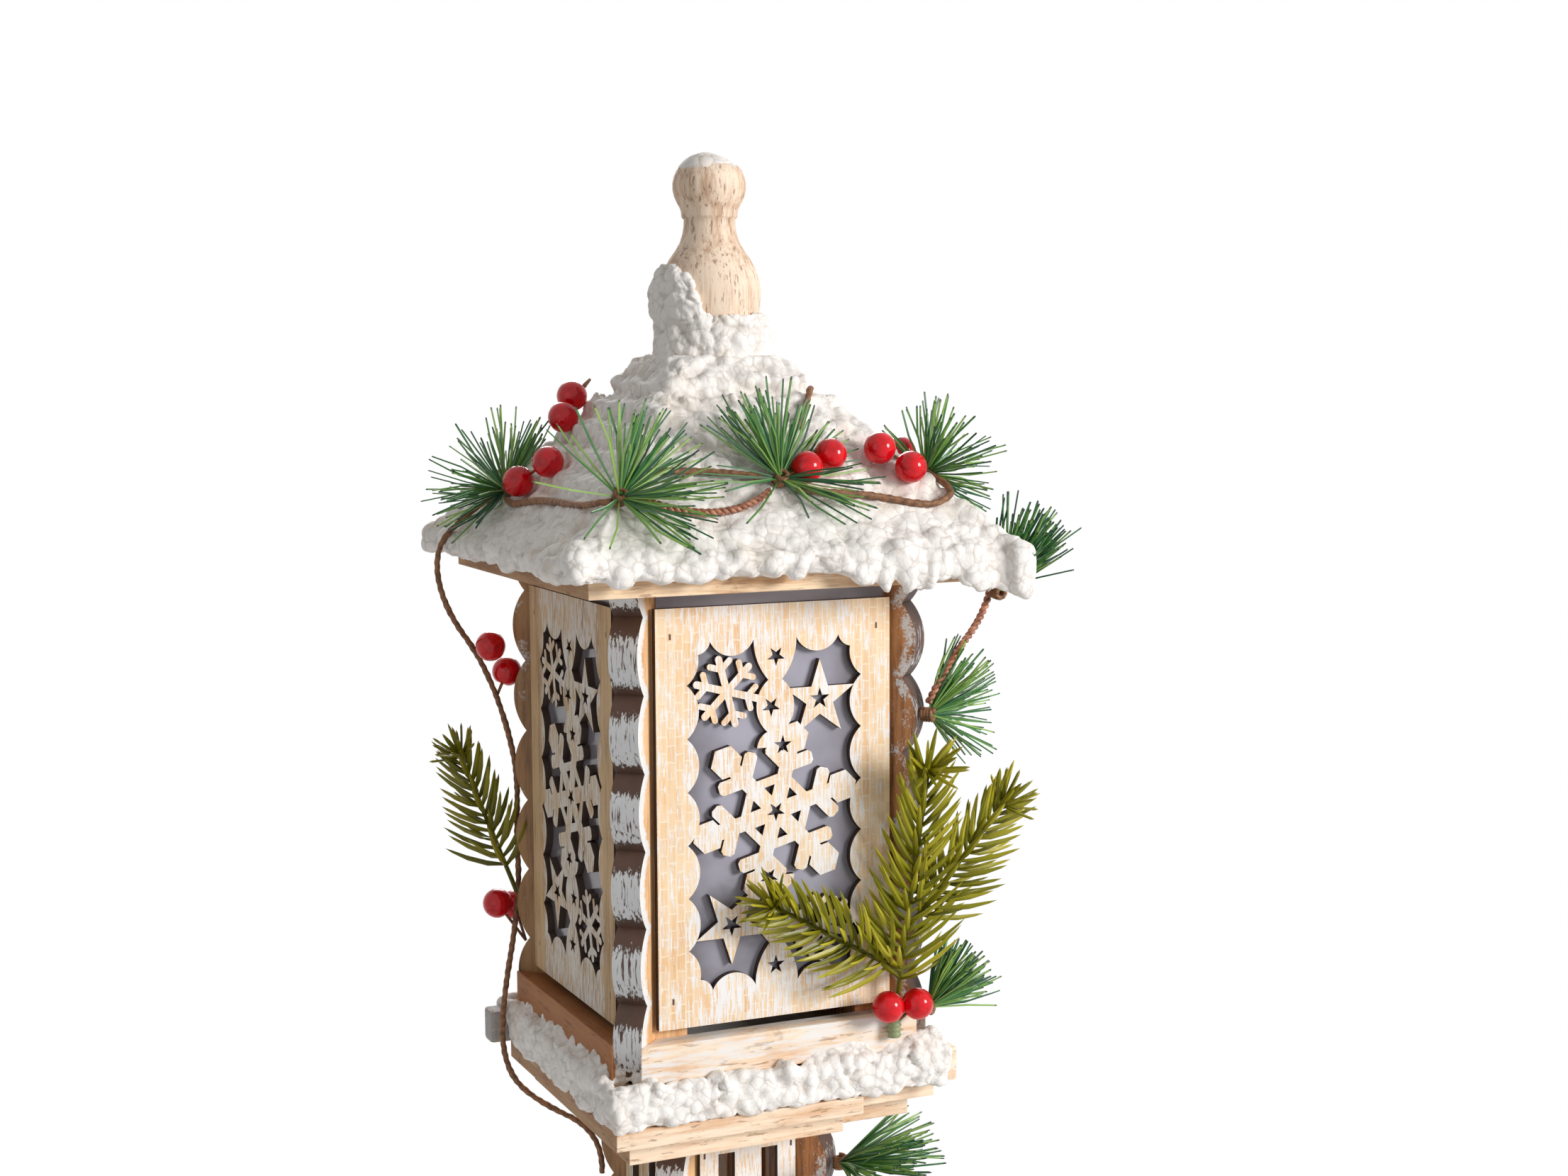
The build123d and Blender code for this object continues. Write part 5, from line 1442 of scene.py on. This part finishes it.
leftTwine = wrappedWire("leftTwine", [leftRoute], "left_twine", wireSet, wireSet["hangingRadius"])
hangCord(leftRoute, step=0.004)
twistedRope("frontRope", overSnow("front", ropePlaces, ropeLift), "copper_rope", ropeSet)
rightRope = twistedRope("rightRope", rightRoute, "copper_rope", ropeSet)
hangCord(rightRoute, step=0.003)
print("wires laid")


# pine needles
needleFinish = {
    "dark": rgb(0.010, 0.070, 0.034),
    "middle": rgb(0.050, 0.21, 0.045),
    "light": rgb(0.34, 0.54, 0.12),
    "tip": rgb(0.012, 0.03, 0.025),
    "middleAt": 0.45,
    "tipFrom": 0.94,
    "tipShare": 0.8,
    "roughness": 0.42,
}
tuftSet = {
    "needles": 110, "lifts": (6.0, 62.0), "liftCurve": 1.4, "width": 1.0, "widths": (0.8, 1.1),
    "lengths": (0.72, 1.04), "bend": 0.05, "bendAt": 0.55, "tipBack": 0.06, "root": 1.5,
    "stations": ((0.0, 0.8), (0.55, 1.0), (0.945, 0.9), (1.0, 0.75)),  # place and share of the width
    "knotSides": 7, "knotPoints": 40, "knotTurn": 9, "knotHeight": 0.0056, "knotRadius": 0.0024,
    "knotWire": 0.0011,
    "bundles": {  # share of the needles, the turns from the main direction and the lifts that a bundle fills
        "b": ((0.46, (12, 84), (6, 62)), (0.34, (-62, -8), (6, 62)), (0.20, (-178, 178), (6, 62))),
        "c": (
            (0.48, (52, 142), (6, 62)), (0.16, (4, 50), (0, 7)), (0.22, (-50, -22), (4, 40)),
            (0.14, (142, 310), (6, 62)),
        ),
    },
}


def greenStops(settings):
    return ((0.0, settings["dark"]), (settings["middleAt"], settings["middle"]), (1.0, settings["light"]))


def makeNeedles(settings):
    material = newMaterial("pineNeedles")
    tone = toneOf(material)
    tipped = times(calc("GREATER_THAN", tone[1], settings["tipFrom"]), settings["tipShare"])
    color = mixColor(tipped, rampColor(tone[0], greenStops(settings)), settings["tip"])
    return finishUp(material, color, settings["roughness"])


def addNeedle(vertices, faces, tones, root, tip, bend, width, tone, settings):
    first = len(vertices)
    middle = root.lerp(tip, settings["bendAt"]) + bend
    points = (root, middle, tip.lerp(middle, settings["tipBack"]), tip)
    ahead = (tip - root).normalized()
    side = ahead.orthogonal().normalized()
    up = ahead.cross(side)
    for point, (along, share) in zip(points, settings["stations"]):
        for step in range(4):
            vertices.append(point + circlePoint(side, up, math.pi / 2 * step) * (width * share / 2))
            tones.append((tone, along))
    faces.extend(ringFaces(first, 4, 4))
    faces.append((first + 12, first + 13, first + 14, first + 15))


def pineTuft(letter, seat, facing, towards, fan, length, lifts=None, settings=tuftSet):
    chance = random.Random("tuft " + letter)
    facing = Vector(facing).normalized()
    main = (Vector(towards) - facing * Vector(towards).dot(facing)).normalized()
    cross = facing.cross(main)
    vertices, faces, tones = [], [], []
    for _ in range(settings["needles"]):
        pick = chance.random()
        turns, (lowest, highest) = (-fan, fan), lifts or settings["lifts"]
        for share, *bundle in settings["bundles"].get(letter, ()):
            if pick < share:
                turns, (lowest, highest) = bundle
                break
            pick -= share
        turn = math.radians(chance.uniform(*turns))
        rise = math.radians(lowest + (highest - lowest) * chance.random() ** settings["liftCurve"])
        direction = circlePoint(main, cross, turn) * math.cos(rise) + facing * math.sin(rise)
        reach = length * chance.uniform(*settings["lengths"])
        bend = Vector([wander(chance, 1) for _ in range(3)]) * (reach * settings["bend"])
        width = settings["width"] * chance.uniform(*settings["widths"])
        root, tip = seat + direction * settings["root"], seat + direction * reach
        shape = (root / 1000, tip / 1000, bend / 1000, width / 1000)
        addNeedle(vertices, faces, tones, *shape, chance.random(), settings)
    node = "pine_tuft_" + letter
    meshPiece("pineTuft_" + letter, vertices, faces, pineNeedles, node, tones, smooth=False)
    route = []
    for step in range(settings["knotPoints"]):
        around = circlePoint(main, cross, 2 * math.pi * step / settings["knotTurn"])
        level = (step / (settings["knotPoints"] - 1) - 0.5) * settings["knotHeight"]
        route.append(seat / 1000 + facing * level + around * settings["knotRadius"])
    vertices, faces = [], []
    addTube(vertices, faces, route, settings["knotWire"], settings["knotSides"])
    meshPiece("pineKnot_" + letter, vertices, faces, twinePaper, node)


pineNeedles = makeNeedles(needleFinish)
leftKnot = onSnow("left", -38.0, 25.3, knotLift)
cornerKnot = onSnow("front", -74.5, 28.0, knotLift)
frontKnot = onSnow("front", -0.5, 33.6, knotLift)
hipKnot = onSnow("right", -60.0, 33.0, knotLift)
eaveKnot = rightRoute[1] * 0.3 + rightRoute[2] * 0.7
eaveKnot += Vector((0, -1, 0)) * (garlandSet["ropeRadius"] + knotLift + 0.8)
rightOut = Vector((1, -1, 0))
pineTuft("a", leftKnot, snowNormal("left"), (0, 1, -0.15), 150, 39.0)
pineTuft("b", cornerKnot, snowNormal("front"), (1, 0, 0), 178, 43.0)
pineTuft("c", frontKnot, snowNormal("front"), (1, 0, 0), 178, 43.0)
pineTuft("d", hipKnot, snowNormal("right"), (0.35, -0.87, -0.35), 155, 37.0)
pineTuft("e", eaveKnot, (0, -1, 0), (0.42, 0, 1.0), 30, 45.0)
pineTuft("f", lanternFin("front_right", rightLobe, knotLift), rightOut, (1, 1, 0.5), 70, 37.0)
pineTuft("g", postFin("front_right", postCrest, 4.3), (0, 0, 1), (1, -1, 0), 62, 47.0, (0.0, 29.0))
pineTuft("h", lanternFin("front_right", crest, knotLift), rightOut, (1, 1, 1.6), 55, 35.0)
print("pine tufts made")


# fir sprigs
firFinish = {
    "dark": rgb(0.085, 0.092, 0.004),
    "middle": rgb(0.275, 0.255, 0.008),
    "light": rgb(0.57, 0.49, 0.045),
    "tape": rgb(0.34, 0.40, 0.20),
    "middleAt": 0.5,
    "shares": (0.6, 0.4),  # of the needle's own tone and the place along it
    "roughness": 0.36,
    "shine": {"Specular_IOR_Level": 0.15, "Coat_Weight": 0.15, "Coat_Roughness": 0.12},
}
sprigSet = {
    "step": 4.3, "length": 28.0, "width": 2.7, "thickness": 1.2, "lean": 66.0, "tipLean": 38.0, "curl": 0.38,
    "angles": (78, -78, 104, -104, 30, -34), "reaches": (1.0, 1.0, 0.92, 0.92, 0.72, 0.72), "rosette": 16,
    "outline": ((0.0, 0.55), (0.3, 1.0), (0.65, 0.92), (0.9, 0.5)),  # place and share of the width
    "stemShare": 0.75, "stemTone": (0.12, 0.1), "stemSteps": 12, "stemSides": 7, "overshoot": 0.5,
    "leanCurve": 1.6, "turnWander": 12, "tiltWander": 6, "thinning": 0.42, "reachWander": (0.9, 1.06),
    "rootWander": 0.5, "rootOut": 0.9, "liftShare": 0.3, "flatAbove": 60, "goldenAngle": 2.39996,
    "rosetteTilt": (18, 58), "rosetteReach": 0.66, "rosetteWander": (0.85, 1.05), "rosetteCurl": 0.1,
    "rosetteWidth": 0.9,
}
tapeSet = {
    "rings": 24, "pitch": 0.55, "radius": 0.0029, "ridge": 0.0003, "ridgeTurn": 1.6, "sides": 14,
    "start": (0.2, -1.9, 0.5),  # from the sprig's foot
    "look": (0.5, 0.0, 0.35, 420.0),  # roughness, metallic, speck, its scale
}


def makeFir(name, settings, paintedShadeGain):
    material = newMaterial(name)
    tone = toneOf(material)
    value = blend(tone[0], tone[1], settings["shares"])
    # a gain below one darkens the colour: painted shade
    color = mixColor(1.0, rampColor(value, greenStops(settings)), grey(paintedShadeGain), "MULTIPLY")
    return finishUp(material, color, settings["roughness"], **settings["shine"])


def addBlade(vertices, faces, tones, root, direction, lift, bend, length, width, tone, settings):
    first = len(vertices)
    side = direction.cross(lift).normalized()
    up = side.cross(direction).normalized() * (settings["thickness"] / 1000 / 2)
    for share, wide in settings["outline"]:
        point = root + direction * (length * share) + bend * (length * share * share)
        out = side * (width / 2 * wide)
        vertices.extend((point + out, point + up, point - out, point - up))
        tones.extend([(tone, share)] * 4)
    vertices.append(root + direction * length + bend * length)
    tones.append((tone, 1.0))
    faces.extend(ringFaces(first, 4, 4))
    for step in range(4):
        faces.append((first + 12 + step, first + 12 + (step + 1) % 4, first + 16))


def firSprig(name, branches, facing, node, material, settings=sprigSet):
    chance = random.Random("sprig " + name)
    vertices, faces, tones = [], [], []
    facing = Vector(facing).normalized()
    for start, run, first, shrink, rosette in branches:
        end = start + Vector(run)
        ahead = (end - start).normalized()
        length = (end - start).length
        side = ahead.cross(facing).normalized()
        front = side.cross(ahead).normalized()
        count = len(vertices)
        steps = settings["stemSteps"]
        stem = [start.lerp(end, step / steps) / 1000 for step in range(steps + 1)]
        stemRadius = garlandSet["stemRadius"] * settings["stemShare"] / 1000
        addTube(vertices, faces, stem, stemRadius, settings["stemSides"])
        tones.extend([settings["stemTone"]] * (len(vertices) - count))
        place = first
        row = 0
        while place < length + settings["overshoot"]:
            share = (place - first) / (length - first)
            turned = settings["tipLean"] - settings["lean"]
            lean = math.radians(settings["lean"] + turned * share ** settings["leanCurve"])
            for number, (turn, part) in enumerate(zip(settings["angles"], settings["reaches"])):
                if number >= 2 and (row + number) % 2:
                    continue
                around = turn + wander(chance, settings["turnWander"])
                outward = circlePoint(front, side, math.radians(around))
                tilt = lean + math.radians(wander(chance, settings["tiltWander"]))
                direction = circlePoint(ahead, outward, tilt).normalized()
                reach = settings["length"] * part * shrink * (1.0 - settings["thinning"] * share)
                reach *= chance.uniform(*settings["reachWander"])
                root = start + ahead * (place + wander(chance, settings["rootWander"]))
                root += outward * settings["rootOut"]
                flat = abs(turn) > settings["flatAbove"]
                lift = (front + outward * settings["liftShare"]).normalized() if flat else ahead
                addBlade(
                    vertices, faces, tones, root / 1000, direction, lift, ahead * settings["curl"],
                    reach / 1000, settings["width"] / 1000, chance.random(), settings,
                )
            place += settings["step"]
            row += 1
        heart = (ahead + front * rosette).normalized()
        across = heart.orthogonal().normalized()
        other = heart.cross(across)
        innermost, spread = settings["rosetteTilt"]
        for number in range(settings["rosette"]):
            outward = circlePoint(across, other, settings["goldenAngle"] * number)
            tilt = math.radians(innermost + spread * (number + 0.5) / settings["rosette"])
            direction = circlePoint(heart, outward, tilt).normalized()
            reach = settings["length"] * settings["rosetteReach"] * shrink
            reach *= chance.uniform(*settings["rosetteWander"])
            addBlade(
                vertices, faces, tones, end / 1000, direction, heart, heart * settings["rosetteCurl"],
                reach / 1000, settings["width"] * settings["rosetteWidth"] / 1000, chance.random(), settings,
            )
    meshPiece(name, vertices, faces, material, node, tones, smooth=False)


def wrapTape(foot, settings):
    vertices, faces = [], []
    along, out, up = settings["start"]
    rises = [up + step * settings["pitch"] for step in range(settings["rings"])]
    points = [(foot + Vector((along, out, rise))) / 1000 for rise in rises]

    def radiusAt(index, angle):
        return settings["radius"] + settings["ridge"] * math.sin(index * settings["ridgeTurn"] + angle)

    addTube(vertices, faces, points, radiusAt, settings["sides"])
    tape = makePlain("firTape", firFinish["tape"], *settings["look"])
    meshPiece("firTape", vertices, faces, tape, "fir_sprig_right")


firGreen = makeFir("firGreen", firFinish, paintedShadeGain=1.0)
# the left sprig's copy is darkened to three quarters: painted shade
firPaintedShade = makeFir("firPaintedShade", firFinish, paintedShadeGain=0.75)
sprigFoot = Vector((52.0, -76.8, lanternFoot + 7.0))
sprigRun = Vector((12.8, -9.2, 119.0))
rightBranches = [  # start, run, first needles, length's share, rosette's turn to the front
    (sprigFoot, sprigRun, 27.0, 1.0, 1.6),
    (sprigFoot + sprigRun * 0.25, (-61.0, -1.0, 35.5), 7.0, 0.92, 0.3),
    (sprigFoot + sprigRun * 0.40, (48.0, 0.0, 52.0), 10.0, 0.92, 0.3),
]
leftBranches = [(lanternFin("rear_left", 54.0, stemLift, 4.6), (-20.0, 20.0, 63.0), 14.0, 0.85, 0.4)]
firSprig("firSprigRight", rightBranches, (0, -1, 0), "fir_sprig_right", firGreen)
wrapTape(sprigFoot, tapeSet)
firSprig("firSprigLeft", leftBranches, (-1, -1, 0), "fir_sprig_left", firPaintedShade)
print("fir sprigs made")


# berries
berryFinish = {
    "red": rgb(0.78, 0.004, 0.012),
    "deep": rgb(0.50, 0.002, 0.007),
    "frost": rgb(0.85, 0.45, 0.45),
    "frostShare": 0.08,
    "cloudNoise": (240.0, 3.0),
    "clouds": (0.4, 0.75),
    "speckNoise": (1500.0, 2.0),
    "specks": (0.68, 0.78),
    "roughness": 0.26,
    "relief": (0.00008, 0.2),
    "shine": {"Specular_IOR_Level": 0.08, "Coat_Weight": 0.55, "Coat_Roughness": 0.04},
}
berrySet = {
    "turns": 24, "levels": 14, "dimple": 0.16, "dimpleWidth": 0.3, "stemFrom": 0.8, "shortestStem": 1.0,
    "stemRadius": 0.0007, "stemSides": 6, "stemSteps": 6,
}


def makeBerry(settings):
    material = newMaterial("berryLacquer")
    place, _ = whereOn(material)
    cloud = noiseMask(place, settings["cloudNoise"], settings["clouds"])
    specks = noiseValue(place, *settings["speckNoise"])
    frost = times(smoothStep(specks, *settings["specks"]), settings["frostShare"])
    color = mixColor(frost, mixColor(cloud, settings["red"], settings["deep"]), settings["frost"])
    return finishUp(material, color, settings["roughness"], specks, *settings["relief"], **settings["shine"])


def makeBerries(places, radius, material, settings):
    vertices, faces, stemVertices, stemFaces = [], [], [], []
    turns, levels = settings["turns"], settings["levels"]
    for centre, knot in places:
        axis = (knot - centre).normalized()
        side = axis.orthogonal().normalized()
        up = axis.cross(side)
        faces.extend(ringFaces(len(vertices), levels + 1, turns))
        for level in range(levels + 1):
            polar = math.pi * level / levels
            dimple = 1.0 - settings["dimple"] * math.exp(-(polar / settings["dimpleWidth"]) ** 2)
            for step in range(turns):
                around = circlePoint(side, up, 2 * math.pi * step / turns)
                point = centre + (axis * math.cos(polar) * dimple + around * math.sin(polar)) * radius
                vertices.append(point / 1000)
        start = centre + axis * (radius * settings["stemFrom"])
        if (knot - start).length >= settings["shortestStem"]:
            steps = settings["stemSteps"]
            points = [start.lerp(knot, step / steps) / 1000 for step in range(steps + 1)]
            addTube(stemVertices, stemFaces, points, settings["stemRadius"], settings["stemSides"])
    meshPiece("redBerries", vertices, faces, material, "berries")
    meshPiece("berryStems", stemVertices, stemFaces, twinePaper, "berries")


berryRadius = garlandSet["berryRadius"]
hangReach = berryRadius + garlandSet["twineRadius"]
lowRise = lobePitch + crest
lowKnot = lanternFin("rear_left", lowRise - 20, 3.0)
farKnot = onSnow("left", -47.0, 76.0, 6.0)
tapeKnot = sprigFoot + Vector((0, -2, 6))
eaveTurn = leftRoute[4]
highBerry = hangHigh * 0.645 + eaveTurn * 0.355 + Vector((0.758, -0.653, 0)) * (hangReach + 0.9)
nextBerry = hangHigh * 0.955 + hangLow * 0.045 + Vector((0.995, 0.083, -0.056)) * (hangReach + 0.4)
lowBerry = lanternFin("rear_left", lowRise, 0.0) + Vector((-0.175, 0.883, -0.436)) * (berryRadius + 3.3)
twinBerry = lowBerry + Vector((-0.764, -0.592, 0.259)) * (2 * berryRadius + 0.45)
berryPlaces = [  # centre and the knot that its stem runs to
    (sprigFoot + Vector((-5.6, -7.4, 16.0)), tapeKnot),
    (sprigFoot + Vector((8.9, -7.2, 15.6)), tapeKnot),
    (onSnow("front", 11.5, 35.5, berryLift), frontKnot),
    (onSnow("front", 25.0, 40.5, berryLift), frontKnot),
    (onSnow("front", 49.5, 43.0, berryLift), hipKnot),
    (onSnow("front", 60.5, 34.5, berryLift), hipKnot),
    (onSnow("right", -44.0, 39.5, berryLift), hipKnot),
    (onSnow("left", -18.8, 27.7, berryLift), leftKnot),
    (onSnow("left", -3.9, 36.7, berryLift), leftKnot),
    (onSnow("left", -42.0, 64.5, berryLift), farKnot),
    (onSnow("left", -32.0, 56.0, berryLift), farKnot),
    (highBerry, hangHigh * 0.75 + eaveTurn * 0.25),
    (nextBerry, hangHigh * 0.70 + hangLow * 0.30),
    (lowBerry, lowKnot),
    (twinBerry, lowKnot),
]
makeBerries(berryPlaces, berryRadius, makeBerry(berryFinish), berrySet)
print("berries made")
